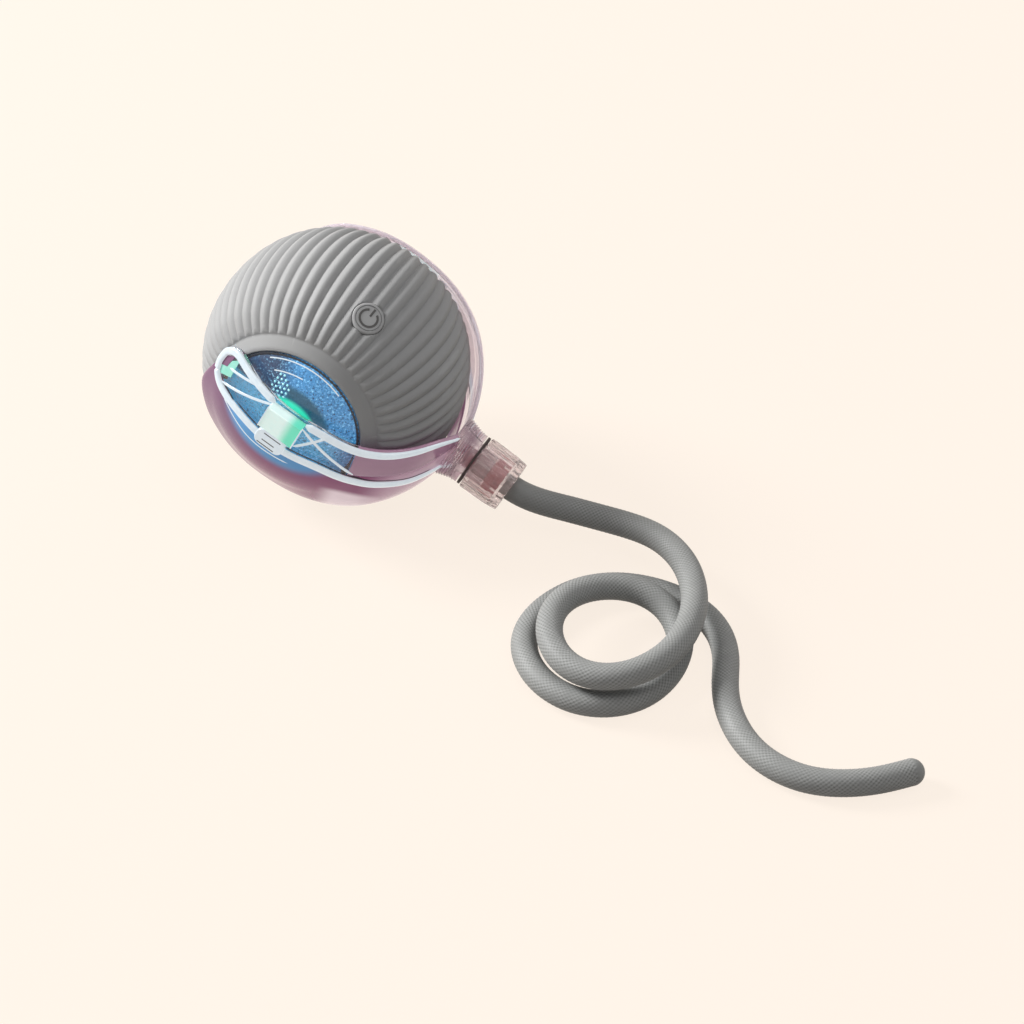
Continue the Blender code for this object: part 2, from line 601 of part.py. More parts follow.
def make_charge_socket(materials, frame):
    """The charging socket, in a slot of the back shell that the sleeve covers."""
    half = SOCKET_WIDTH / 2
    top = -CHASSIS_FACE
    mouth = math.sqrt(SHELL_RADIUS**2 - half**2 - (top - SOCKET_HEIGHT) ** 2) - FIT_GAP / 2
    low = (-half, -mouth, top - SOCKET_HEIGHT)
    high = (half, -SOCKET_INNER_END, top)
    make_object("charge_socket", box_mesh("charge_socket", low, high), materials["steel"], frame)


def make_switch(materials, frame):
    """The tactile switch under the button, on its own small board."""
    half = SWITCH_SIDE / 2
    foot = SWITCH_TOP_RADIUS - SWITCH_HEIGHT
    switch = box_mesh("power_switch", (-half, -half, foot), (half, half, SWITCH_TOP_RADIUS))
    make_object("power_switch", switch, materials["black"], frame)
    half = SWITCH_BOARD_SIDE / 2
    top = foot - FIT_GAP
    board = box_mesh("switch_board", (-half, -half, top - SWITCH_BOARD_THICKNESS), (half, half, top))
    make_object("switch_board", board, materials["board"], frame)


def make_button(materials, frame):
    """The round power button, whose stem reaches the switch through the shell."""
    cap_foot = SHELL_RADIUS + FIT_GAP + BUTTON_TRAVEL
    stem_foot = SWITCH_TOP_RADIUS + FIT_GAP + BUTTON_TRAVEL
    profile = [
        (0, stem_foot), (BUTTON_STEM_RADIUS, stem_foot), (BUTTON_STEM_RADIUS, cap_foot),
        (BUTTON_RADIUS, cap_foot), (BUTTON_RADIUS, BALL_RADIUS - FIT_GAP / 2),
        (BUTTON_RADIUS - FIT_GAP, BALL_RADIUS), (0, BALL_RADIUS),
    ]
    make_object("power_button", turned_mesh("power_button", profile), materials["silicone"], frame)


def gear_outline(teeth, phase):
    """Straight-flanked stub teeth, the first one centred on the phase angle."""
    pitch_radius = GEAR_MODULE * teeth / 2
    tip = pitch_radius + GEAR_MODULE * ADDENDUM_SHARE
    root = pitch_radius - GEAR_MODULE * DEDENDUM_SHARE
    pitch = math.tau / teeth
    outline = []
    for tooth in range(teeth):
        middle = phase + tooth * pitch
        for radius, share in (
            (root, -TOOTH_ROOT_SHARE), (tip, -TOOTH_TIP_SHARE),
            (tip, TOOTH_TIP_SHARE), (root, TOOTH_ROOT_SHARE),
        ):
            angle = middle + share * pitch / 2
            outline.append((radius * math.cos(angle), radius * math.sin(angle)))
    return outline


def hanging_angles(spread_deg):
    """Evenly spaced angles round straight down."""
    spread = math.radians(spread_deg)
    return [spread * (k / SECTOR_STEPS - 0.5) - math.pi / 2 for k in range(SECTOR_STEPS + 1)]


def sector_outline(inner, outer, spread_deg):
    """A ring sector that hangs down, between two radii."""
    angles = hanging_angles(spread_deg)
    outline = [(outer * math.cos(angle), outer * math.sin(angle)) for angle in angles]
    return outline + [(inner * math.cos(angle), inner * math.sin(angle)) for angle in reversed(angles)]


def swing_arm_outline():
    """A round hub that widens into a sector below the axle."""
    low = hanging_angles(SWING_ARM_SPREAD_DEG)
    top = [math.pi * k / SECTOR_STEPS for k in range(SECTOR_STEPS + 1)]
    outline = [(SWING_ARM_RADIUS * math.cos(a), SWING_ARM_RADIUS * math.sin(a)) for a in low]
    return outline + [(SWING_HUB_RADIUS * math.cos(a), SWING_HUB_RADIUS * math.sin(a)) for a in top]


def make_swing(materials, frame):
    """The driven gear, its bush, the swinging arm and the weight screwed to it."""
    bush_radius = AXLE_HOLE_RADIUS + BUSH_WALL
    bore = bush_radius + FIT_GAP
    bush = tube_mesh("swing_bush", AXLE_HOLE_RADIUS, bush_radius, WEIGHT_BACK, GEAR_FACE)
    make_object("swing_bush", bush, materials["brass"], frame)
    outline = gear_outline(GEAR_TEETH, math.radians(MOTOR_ANGLE_DEG))
    gear_mesh = extruded_mesh("drive_gear", outline, GEAR_FACE - GEAR_WIDTH, GEAR_FACE)
    gear = make_object("drive_gear", gear_mesh, materials["gear"], frame)
    hole = rod_mesh("bush_hole", bore, WEIGHT_BACK - CUT_OVERRUN, CUT_OVERRUN)
    combine(gear, hole, "DIFFERENCE", frame)
    arm_back = SWING_ARM_FACE - SWING_ARM_THICKNESS
    arm_mesh = extruded_mesh("swing_arm", swing_arm_outline(), arm_back, SWING_ARM_FACE)
    arm = make_object("swing_arm", arm_mesh, materials["black"], frame)
    combine(arm, hole, "DIFFERENCE", frame)
    outline = sector_outline(WEIGHT_INNER_RADIUS, WEIGHT_RADIUS, WEIGHT_SPREAD_DEG)
    weight_mesh = extruded_mesh("swing_weight", outline, WEIGHT_BACK, WEIGHT_FACE)
    weight = make_object("swing_weight", weight_mesh, materials["steel"], frame)
    screw_end = WEIGHT_FACE - SCREW_DEPTH
    profile = [
        (0, screw_end), (SCREW_RADIUS, screw_end), (SCREW_RADIUS, SWING_ARM_FACE - SCREW_HEAD_HEIGHT),
        (SCREW_HEAD_RADIUS, SWING_ARM_FACE), (0, SWING_ARM_FACE),
    ]
    drill_radius = SCREW_RADIUS + FIT_GAP
    sink_radius = SCREW_HEAD_RADIUS + FIT_GAP
    sink = [
        (0, screw_end - FIT_GAP), (drill_radius, screw_end - FIT_GAP),
        (drill_radius, SWING_ARM_FACE - SCREW_HEAD_HEIGHT), (sink_radius, SWING_ARM_FACE),
        (sink_radius, SWING_ARM_FACE + FIT_GAP), (0, SWING_ARM_FACE + FIT_GAP),
    ]
    for number, sign in ((1, -1), (2, 1)):
        angle = math.radians(sign * SCREW_SPREAD_DEG) - math.pi / 2
        across, down = SCREW_CIRCLE_RADIUS * math.cos(angle), SCREW_CIRCLE_RADIUS * math.sin(angle)
        spot = Matrix.Translation((across, down, 0))
        name = f"weight_screw_{number}"
        screw = turned_mesh(name, profile, TINY_SIDES)
        make_object(name, screw, materials["steel"], frame, spot)
        drill = turned_mesh("screw_hole", sink, TINY_SIDES)
        for target in (arm, weight):
            combine(target, drill, "DIFFERENCE", frame, spot)


def make_pinion(materials, frame):
    """The motor's output shaft and its pinion, in mesh with the driven gear on the axle."""
    outline = gear_outline(PINION_TEETH, math.pi / PINION_TEETH)
    low = GEAR_FACE - GEAR_WIDTH - PINION_OVERHANG
    pinion_mesh = extruded_mesh("motor_pinion", outline, low, GEAR_FACE)
    pinion = make_object("motor_pinion", pinion_mesh, materials["brass"], frame)
    hole = rod_mesh("pinion_bore", SHAFT_RADIUS + FIT_GAP, low - CUT_OVERRUN, CUT_OVERRUN, TINY_SIDES)
    combine(pinion, hole, "DIFFERENCE", frame)
    shaft = rod_mesh("motor_shaft", SHAFT_RADIUS, low, CHASSIS_FACE - FIT_GAP, TINY_SIDES)
    make_object("motor_shaft", shaft, materials["steel"], frame)


def arm_inner_distance(along, across):
    """How far the arm's inside lies from the middle: low over the window, higher over the ribs."""
    from_pole = math.degrees(math.acos(math.cos(along) * math.cos(across)))
    share = (from_pole - ARM_RISE_FROM_DEG) / (ARM_RISE_TO_DEG - ARM_RISE_FROM_DEG)
    share = min(max(share, 0.0), 1.0)
    flare = ARM_FLARE * max(math.sin(along), 0.0) ** 2
    return ARM_INNER_RADIUS + ARM_RISE * share + flare


def arm_place(along, across, distance):
    forward = math.cos(across) * math.sin(along)
    outward = math.cos(across) * math.cos(along)
    return (distance * forward, distance * math.sin(across), distance * outward)


def arm_angles():
    """Rows of (along, across) angles, blended between the four edges of the arm's sheet."""
    rows = list(ARM_TIP_ROW_SHARES)
    spare = ARM_ROWS - len(rows)
    rows += [rows[-1] + (1 - rows[-1]) * (k + 1) / spare for k in range(spare)]
    edges = [
        smooth_curve(edge, ARM_EDGE_SAMPLES)
        for edge in (ARM_TOP_EDGE_DEG, ARM_LOW_EDGE_DEG, ARM_TIP_EDGE_DEG, ARM_ROOT_EDGE_DEG)
    ]

    def read(edge, share):
        at = share * (ARM_EDGE_SAMPLES - 1)
        return np.array([np.interp(at, range(ARM_EDGE_SAMPLES), edge[:, axis]) for axis in (0, 1)])

    top, low, tip, root = edges
    grid = []
    for u in rows:
        line = []
        for v in ARM_COLUMN_SHARES:
            blend = (1 - v) * read(top, u) + v * read(low, u)
            blend = blend + (1 - u) * read(tip, v) + u * read(root, v)
            corners = (1 - u) * ((1 - v) * top[0] + v * low[0])
            corners = corners + u * ((1 - v) * top[-1] + v * low[-1])
            line.append(np.radians(blend - corners))
        grid.append(line)
    return grid


def arm_mesh():
    """One closed curved sheet with a raised rail along its edge, its mid line and its tip."""
    grid = arm_angles()
    columns = len(ARM_COLUMN_SHARES)
    points = []
    for layer in (0, 1):
        for row, line in enumerate(grid):
            for share, (along, across) in zip(ARM_COLUMN_SHARES, line):
                distance = arm_inner_distance(along, across)
                if layer:
                    raised = share in RAISED_COLUMN_SHARES
                    raised = raised or (row < 2 and share <= max(RAISED_COLUMN_SHARES))
                    distance += ARM_WALL + (RAIL_HEIGHT if raised else 0)
                points.append(arm_place(along, across, distance))
    size = len(grid) * columns
    faces = []
    for row in range(len(grid) - 1):
        for column in range(columns - 1):
            first = row * columns + column
            quad = [first, first + 1, first + columns + 1, first + columns]
            faces += [quad, [size + corner for corner in quad]]
    border = list(range(columns))
    border += [row * columns + columns - 1 for row in range(1, len(grid))]
    border += [size - 2 - k for k in range(columns - 1)]
    border += [row * columns for row in range(len(grid) - 2, 0, -1)]
    for first, second in zip(border, border[1:] + border[:1]):
        faces.append([first, second, size + second, size + first])
    return mesh_from("arm", points, faces)


def collar_half_mesh():
    """The collar and its spigot, turned about the tail's axis."""
    profile = [
        (0, COLLAR_START), (COLLAR_ROOT_RADIUS, COLLAR_START),
        (COLLAR_RADIUS, COLLAR_START + COLLAR_FLARE_LENGTH), (COLLAR_RADIUS, COLLAR_FACE),
        (SPIGOT_RADIUS, COLLAR_FACE), (SPIGOT_RADIUS, SPIGOT_END),
        (SPIGOT_BORE_RADIUS, SPIGOT_END), (SPIGOT_BORE_RADIUS, BORE_START), (0, BORE_START),
    ]
    return turned_mesh("collar_half", profile, SMALL_SIDES)


def make_arm(side, sheet, collar, materials, frame):
    """A clear arm: the curved sheet, the hub on the pole and one half of the collar."""
    tail_axis = make_frame(f"{side}_tail_axis", frame, Matrix.Rotation(math.pi / 2, 4, "Y"))
    arm = make_object(f"{side}_arm", sheet, materials["clear"], frame)
    hub = box_mesh(
        "hub",
        (-HUB_LENGTH / 2, HUB_OFFSET - HUB_WIDTH / 2, ARM_INNER_RADIUS),
        (HUB_LENGTH / 2, HUB_OFFSET + HUB_WIDTH / 2, HUB_TOP),
    )
    combine(arm, hub, "UNION", frame)
    combine(arm, collar, "UNION", tail_axis)
    lug_reach = SPIGOT_RADIUS + LUG_HEIGHT
    lug = box_mesh(
        "lug",
        (-lug_reach, -LUG_WIDTH / 2, LUG_START),
        (-SPIGOT_BORE_RADIUS - FIT_GAP, LUG_WIDTH / 2, LUG_START + LUG_LENGTH),
    )
    combine(arm, lug, "UNION", tail_axis)
    bore_radius = AXLE_HOLE_RADIUS + BUSH_WALL + FIT_GAP
    bore = rod_mesh("hub_bore", bore_radius, ARM_INNER_RADIUS - CUT_OVERRUN, HUB_TOP - HUB_ROOF)
    combine(arm, bore, "DIFFERENCE", frame)
    reach = COLLAR_ROOT_RADIUS + CUT_OVERRUN
    split = box_mesh("split", (-FIT_GAP / 2, -reach, COLLAR_START - CUT_OVERRUN), (reach, reach, NUT_END))
    combine(arm, split, "DIFFERENCE", tail_axis)
    foot = ARM_INNER_RADIUS + FIT_GAP
    top = HUB_TOP - HUB_ROOF - FIT_GAP
    bush = tube_mesh(f"{side}_hub_bush", AXLE_HOLE_RADIUS, AXLE_HOLE_RADIUS + BUSH_WALL, foot, top)
    make_object(f"{side}_hub_bush", bush, materials["brass"], frame)


def make_nut(materials, frame):
    """The bayonet nut: two notches in its lip let the collar's lugs in, a sixth of a turn away."""
    body = [(0, NUT_START), (NUT_RADIUS, NUT_START), (NUT_END_RADIUS, NUT_END), (0, NUT_END)]
    nut = make_object("lock_nut", turned_mesh("lock_nut", body, NUT_SIDES), materials["clear"], frame)
    lip_radius = SPIGOT_RADIUS + FIT_GAP
    groove_radius = math.hypot(SPIGOT_RADIUS + LUG_HEIGHT, LUG_WIDTH / 2) + FIT_GAP
    groove_start = NUT_START + NUT_LIP
    groove_end = LUG_START + LUG_LENGTH + FIT_GAP
    end_wall = NUT_END - NUT_END_WALL
    exit_radius = TAIL_RADIUS + FIT_GAP
    cavity = [
        (0, NUT_START - CUT_OVERRUN), (lip_radius, NUT_START - CUT_OVERRUN),
        (lip_radius, groove_start), (groove_radius, groove_start), (groove_radius, groove_end),
        (NUT_CAVITY_RADIUS, groove_end), (NUT_CAVITY_RADIUS, end_wall), (exit_radius, end_wall),
        (exit_radius, NUT_END + CUT_OVERRUN), (0, NUT_END + CUT_OVERRUN),
    ]
    combine(nut, turned_mesh("nut_cavity", cavity), "DIFFERENCE", frame)
    half = LUG_WIDTH / 2 + FIT_GAP
    notch = box_mesh(
        "nut_notch",
        (-groove_radius, -half, NUT_START - CUT_OVERRUN),
        (groove_radius, half, groove_start + FIT_GAP),
    )
    combine(nut, notch, "DIFFERENCE", frame, Matrix.Rotation(math.radians(NUT_TURN_DEG), 4, "Z"))


def make_plug(materials, frame):
    """The washer in front of the nut and the plug that the tail is moulded on."""
    low = COLLAR_FACE + FIT_GAP
    washer = tube_mesh("nut_washer", SPIGOT_RADIUS + FIT_GAP, COLLAR_RADIUS, low, low + WASHER_THICKNESS)
    make_object("nut_washer", washer, materials["rubber"], frame)
    flange = SPIGOT_END + FIT_GAP
    stem = SPIGOT_BORE_RADIUS - FIT_GAP
    profile = [
        (0, BORE_START + FIT_GAP), (stem, BORE_START + FIT_GAP), (stem, flange),
        (PLUG_FLANGE_RADIUS, flange), (PLUG_FLANGE_RADIUS, flange + PLUG_FLANGE_LENGTH),
        (PLUG_BARREL_RADIUS, flange + PLUG_FLANGE_LENGTH), (PLUG_BARREL_RADIUS, TAIL_START - FIT_GAP),
        (0, TAIL_START - FIT_GAP),
    ]
    make_object("tail_plug", turned_mesh("tail_plug", profile, SMALL_SIDES), materials["plug"], frame)


def tail_points():
    """The tail's route: straight out of the nut, down to the floor and round its two loops."""
    dip = math.radians(TAIL_DIP_DEG)
    outward = Vector((math.cos(dip), 0, -math.sin(dip)))
    middle = Vector((0, 0, BALL_HEIGHT))
    route = [tuple(middle + outward * distance) for distance in (TAIL_START, TAIL_START + TAIL_LEAD)]
    route += [(x * MM, y * MM, z * MM) for x, y, z in TAIL_ROUTE]
    return smooth_curve(route, TAIL_SAMPLES)


def least_gap(points, radius):
    """The clear space between the tail and itself, past the stretch that is simply its own bend."""
    length = float(np.linalg.norm(np.diff(points, axis=0), axis=1).sum())
    apart = int(math.ceil(TAIL_OWN_BEND_RADII * radius / (length / len(points))))
    gaps = [
        float(np.linalg.norm(points[k + apart :] - points[k], axis=1).min())
        for k in range(len(points) - apart)
    ]
    return length, min(gaps) - 2 * radius


def make_tail(materials):
    """The soft round tail as one unbroken tube with a rounded end."""
    points = tail_points()
    length, gap = least_gap(points, TAIL_RADIUS)
    print(f"tail length {length / MM:.1f} mm, least gap to itself {gap / MM:.2f} mm")
    curve = bpy.data.curves.new("tail", "CURVE")
    curve.dimensions = "3D"
    curve.bevel_depth = TAIL_RADIUS
    curve.bevel_resolution = TAIL_BEVEL_RESOLUTION
    curve.use_fill_caps = True
    last, before = Vector(points[-1]), Vector(points[-2])
    direction = (last - before).normalized()
    stations = [(Vector(point), 1.0) for point in points]
    stations += [
        (last + direction * TAIL_RADIUS * share, math.sqrt(1 - share**2)) for share in TAIL_TIP_SHARES
    ]
    spline = curve.splines.new("POLY")
    spline.points.add(len(stations) - 1)
    for point, (place, share) in zip(spline.points, stations):
        point.co = (*place, 1.0)
        point.radius = share
    tail = bpy.data.objects.new("tail", curve)
    bpy.context.scene.collection.objects.link(tail)
    curve.materials.append(materials["cord"])
    spline.use_smooth = True


def main():
    clear_scene()
    materials = make_materials()
    upright = Matrix.Translation((0, 0, BALL_HEIGHT)) @ Matrix.Rotation(math.pi / 2, 4, "X")
    lean = Matrix.Rotation(math.radians(-TAIL_DIP_DEG), 4, "Z")
    harness = make_frame("harness_axis", None, upright @ lean)
    back = make_frame("back_arm_axis", harness, Matrix.Rotation(math.pi, 4, "X"))
    nut_axis = make_frame("nut_axis", harness, Matrix.Rotation(math.pi / 2, 4, "Y"))
    ball = make_frame("ball_axis", None, upright)
    swing = make_frame("swing_axis", ball)
    aim = Matrix.Rotation(math.radians(MOTOR_ANGLE_DEG), 4, "Z")
    pinion = make_frame("pinion_axis", ball, aim @ Matrix.Translation((PITCH_DISTANCE, 0, 0)))
    press = Vector(BUTTON_AXIS_SHARES).normalized()
    button = make_frame("button_axis", ball, press.to_track_quat("Z", "Y").to_matrix().to_4x4())
    bpy.context.view_layer.update()

    make_sleeve(materials, ball, button)
    make_shells(materials, ball, button)
    make_windows(materials, ball)
    make_chassis(materials, ball, pinion)
    make_battery(materials, ball)
    make_boards(materials, ball)
    make_charge_socket(materials, ball)
    make_switch(materials, button)
    make_button(materials, button)
    make_swing(materials, swing)
    make_pinion(materials, pinion)
    sheet = arm_mesh()
    collar = collar_half_mesh()
    make_arm("front", sheet, collar, materials, harness)
    make_arm("back", sheet, collar, materials, back)
    make_nut(materials, nut_axis)
    make_plug(materials, nut_axis)
    make_tail(materials)


main()
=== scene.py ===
import json
import math

import bmesh
import bpy
import numpy as np
from mathutils import Matrix, Vector


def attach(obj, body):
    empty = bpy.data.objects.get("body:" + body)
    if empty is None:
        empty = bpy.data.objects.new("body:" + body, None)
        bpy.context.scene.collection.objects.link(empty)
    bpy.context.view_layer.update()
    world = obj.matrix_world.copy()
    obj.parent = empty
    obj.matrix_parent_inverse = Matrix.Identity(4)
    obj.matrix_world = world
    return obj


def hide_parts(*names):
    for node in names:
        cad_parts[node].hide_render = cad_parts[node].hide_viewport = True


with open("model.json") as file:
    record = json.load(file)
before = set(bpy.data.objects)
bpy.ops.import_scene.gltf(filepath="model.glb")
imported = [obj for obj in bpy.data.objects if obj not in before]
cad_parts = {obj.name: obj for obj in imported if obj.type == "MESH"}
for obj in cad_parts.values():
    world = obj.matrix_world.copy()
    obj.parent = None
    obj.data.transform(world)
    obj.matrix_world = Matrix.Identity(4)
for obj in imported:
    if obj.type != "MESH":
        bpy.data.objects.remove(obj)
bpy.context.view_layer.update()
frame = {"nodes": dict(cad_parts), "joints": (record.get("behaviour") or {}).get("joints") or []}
mm = 0.001

# the model's own directions, read from its joints
joints = {joint["name"]: joint for joint in frame["joints"]}
ballMiddle = Vector(joints["ball_roll"]["pos_m"])
toFront = Vector(joints["ball_roll"]["axis"])  # along the axle, out of the front window
toTail = Vector(joints["nut_turn"]["axis"])  # out of the nut
toTop = toFront.cross(toTail)
toButton = -Vector(joints["button_press"]["axis"])


def placeOf(sideways, upwards, along):
    turn = Matrix((sideways, upwards, along)).transposed().to_4x4()
    return Matrix.Translation(ballMiddle) @ turn


ballPlace = placeOf(Vector((1, 0, 0)), Vector((0, 0, 1)), toFront)
backWindowPlace = ballPlace @ Matrix.Rotation(math.pi, 4, "X")
armPlace = placeOf(toTail, toTop, toFront)
backArmPlace = armPlace @ Matrix.Rotation(math.pi, 4, "X")
tailPlace = placeOf(-toFront, toTop, toTail)
backCollarPlace = tailPlace @ Matrix.Rotation(math.pi, 4, "Z")
symbolUp = (toFront * -1 + toButton * toFront.dot(toButton)).normalized()
buttonPlace = placeOf(symbolUp.cross(toButton), symbolUp, toButton)
print("frame loaded")


def addObject(name, data):
    made = bpy.data.objects.new(name, data)
    bpy.context.scene.collection.objects.link(made)
    return made


# the camera stands where the ball shows at ballPixel, and looks at the middle of its picture
camera = {"azimuth": 27, "elevation": 38, "distance": 1.2, "lens": 176.7, "sensor": 36, "picture": 1024,
          "ballPixel": (336.6, 360.7), "near": 0.05, "far": 20}


def addCamera():
    around, above = math.radians(camera["azimuth"]), math.radians(camera["elevation"])
    level = math.cos(above)
    towards = Vector((math.sin(around) * level, -math.cos(around) * level, math.sin(above)))
    data = bpy.data.cameras.new("camera")
    data.lens = camera["lens"]
    data.sensor_width = camera["sensor"]
    data.clip_start, data.clip_end = camera["near"], camera["far"]
    eye = addObject("camera", data)
    middle = camera["picture"] / 2
    pixels = camera["lens"] / camera["sensor"] * camera["picture"]
    right, down = middle - camera["ballPixel"][0], middle - camera["ballPixel"][1]
    toMiddle = Vector((0, 0, -1)).rotation_difference(Vector((right, -down, -pixels)))
    eye.rotation_mode = "QUATERNION"
    eye.rotation_quaternion = (-towards).to_track_quat("-Z", "Y") @ toMiddle
    eye.location = ballMiddle + towards * camera["distance"]
    bpy.context.scene.camera = eye


addCamera()
print("camera placed")


# helpers that build materials

def give(tree, node, values):
    # an input takes a plain value, or is linked to another node's output
    for socket, value in values.items():
        taker = node.inputs[socket]
        if isinstance(value, bpy.types.NodeSocket):
            tree.links.new(value, taker)
        else:
            taker.default_value = (*value, 1) if taker.type == "RGBA" and len(value) == 3 else value
    return node


def addNode(tree, kind, values=None, **settings):
    node = tree.nodes.new("ShaderNode" + kind)
    for name, value in settings.items():
        setattr(node, name, value)
    return give(tree, node, values or {})


def calculate(tree, operation, first, second):
    return addNode(tree, "Math", {0: first, 1: second}, operation=operation).outputs[0]


def mixColours(tree, factor, first, second, blend="MIX"):
    values = {"Factor": factor, 6: first, 7: second}  # 6 and 7 are the colours of a mix node
    return addNode(tree, "Mix", values, data_type="RGBA", blend_type=blend).outputs[2]


def mask(tree, source, low, high, top=1.0):
    # goes smoothly from 0 where the source is low to top where it is high
    values = {"Value": source, "From Min": low, "From Max": high, "To Max": top}
    return addNode(tree, "MapRange", values, interpolation_type="SMOOTHSTEP").outputs["Result"]


def bothMasks(tree, first, second):
    return calculate(tree, "MULTIPLY", first, second)


def ownPlace(tree):
    return addNode(tree, "TexCoord").outputs["Object"]


def placeAside(tree):
    # moved off the object's middle planes, where all layers of a noise would line up
    return addNode(tree, "VectorMath", {0: ownPlace(tree), 1: (0.137, 0.291, 0.173)}).outputs[0]


def newGroup(name, inputs, outputs):
    group = bpy.data.node_groups.new(name, "ShaderNodeTree")
    for socket, value in inputs.items():
        kind = "NodeSocketColor" if isinstance(value, tuple) else "NodeSocketFloat"
        group.interface.new_socket(name=socket, in_out="INPUT", socket_type=kind).default_value = value
    for socket, kind in outputs.items():
        group.interface.new_socket(name=socket, in_out="OUTPUT", socket_type="NodeSocket" + kind)
    return group, group.nodes.new("NodeGroupInput").outputs, group.nodes.new("NodeGroupOutput")


def grainGroup():
    # fine moulded grain: a mask and a bumped normal
    group, given, out = newGroup("mouldedGrain", {"Scale": 3000.0, "Depth": 0.2},
                                 {"Mask": "Float", "Normal": "Vector"})
    noise = addNode(group, "TexNoise", {"Vector": placeAside(group), "Scale": given["Scale"], "Detail": 3.0})
    height = noise.outputs["Fac"]
    bump = addNode(group, "Bump", {"Distance": 0.0001, "Height": height, "Strength": given["Depth"]})
    give(group, out, {"Mask": height, "Normal": bump.outputs["Normal"]})
    return group


def driftGroup():
    # slow change between two colours, with a little roughness change
    group, given, out = newGroup(
        "colourDrift",
        {"Colour": (0.5, 0.5, 0.5, 1), "Other": (0.4, 0.4, 0.4, 1), "Scale": 60.0, "Rough low": 0.4,
         "Rough high": 0.5},
        {"Colour": "Color", "Roughness": "Float"},
    )
    noise = addNode(group, "TexNoise", {"Vector": placeAside(group), "Scale": given["Scale"], "Detail": 4.0})
    share = noise.outputs["Fac"]
    rough = addNode(group, "MapRange", {"Value": share, "To Min": given["Rough low"],
                                        "To Max": given["Rough high"]})
    give(group, out, {"Colour": mixColours(group, share, given["Colour"], given["Other"]),
                      "Roughness": rough.outputs["Result"]})
    return group


def grooveGroup():
    # painted shade: darker where the surface is hollow, with a painted highlight where it stands out
    group, given, out = newGroup(
        "grooveShade",
        {"Colour": (0.5, 0.5, 0.5, 1), "Hollow": (0.2, 0.2, 0.2, 1), "Ridge": (0.7, 0.7, 0.7, 1),
         "Spread": 0.06},
        {"Colour": "Color"},
    )
    shape = addNode(group, "NewGeometry").outputs["Pointiness"]
    low = calculate(group, "SUBTRACT", 0.5, given["Spread"])
    high = calculate(group, "ADD", 0.5, given["Spread"])
    hollow = addNode(group, "MapRange", {"Value": shape, "From Min": low, "From Max": 0.5, "To Min": 1.0,
                                         "To Max": 0.0})
    ridge = addNode(group, "MapRange", {"Value": shape, "From Min": 0.5, "From Max": high})
    tone = mixColours(group, hollow.outputs["Result"], given["Colour"], given["Hollow"])
    give(group, out, {"Colour": mixColours(group, ridge.outputs["Result"], tone, given["Ridge"])})
    return group


# effects that several materials share
grain, drift, grooves = grainGroup(), driftGroup(), grooveGroup()


def placeGroup(tree, group, values):
    node = tree.nodes.new("ShaderNodeGroup")
    node.node_tree = group
    return give(tree, node, values).outputs


def newMaterial(name):
    material = bpy.data.materials.new(name)
    material.use_nodes = True
    return material, *shaderOf(material)


def shaderOf(material):
    return material.node_tree, material.node_tree.nodes["Principled BSDF"]


def surface(name, colour, other, rough, grainScale=3000.0, grainDepth=0.15, driftScale=60.0, paintedGrooveShade=None,
            **sockets):
    # a moulded or metal finish: slow colour drift, painted shade in the grooves with painted highlights on
    # the ridges, and fine grain
    material, tree, shader = newMaterial(name)
    change = placeGroup(tree, drift, {"Colour": colour, "Other": other, "Scale": driftScale,
                                      "Rough low": rough[0], "Rough high": rough[1]})
    fine = placeGroup(tree, grain, {"Scale": grainScale, "Depth": grainDepth})
    tone = change["Colour"]
    if paintedGrooveShade:
        tone = placeGroup(tree, grooves, {"Colour": tone, **paintedGrooveShade})["Colour"]
    give(tree, shader, {"Base Color": tone, "Roughness": change["Roughness"], "Normal": fine["Normal"]})
    give(tree, shader, {socket.replace("_", " "): value for socket, value in sockets.items()})
    return material


def glow(name, colour, other, light, strength, scale, rough, **sockets):
    # a lit translucent plastic: the light that it gives drifts as its own colour does
    material = surface(name, colour, other, rough, 900.0, 0.1, scale, Emission_Strength=strength, **sockets)
    tree, shader = shaderOf(material)
    lit = placeGroup(tree, drift, {"Colour": light, "Other": other, "Scale": scale})
    give(tree, shader, {"Emission Color": lit["Colour"]})
    return material


def tinted(material, tint, low, high, top, *sockets):
    # a tint that grows along the piece's own X
    tree, shader = shaderOf(material)
    split = addNode(tree, "SeparateXYZ", {"Vector": ownPlace(tree)})
    grown = mask(tree, split.outputs["X"], low, high, top)
    for socket in sockets:
        tone = shader.inputs[socket].links[0].from_socket
        give(tree, shader, {socket: mixColours(tree, grown, tone, tint)})
    return material


def layered(tree, colour, layers):
    # each tone lies over the ones before it, where its mask is
    for tone, cover in layers:
        colour = mixColours(tree, cover, colour, tone)
    return colour


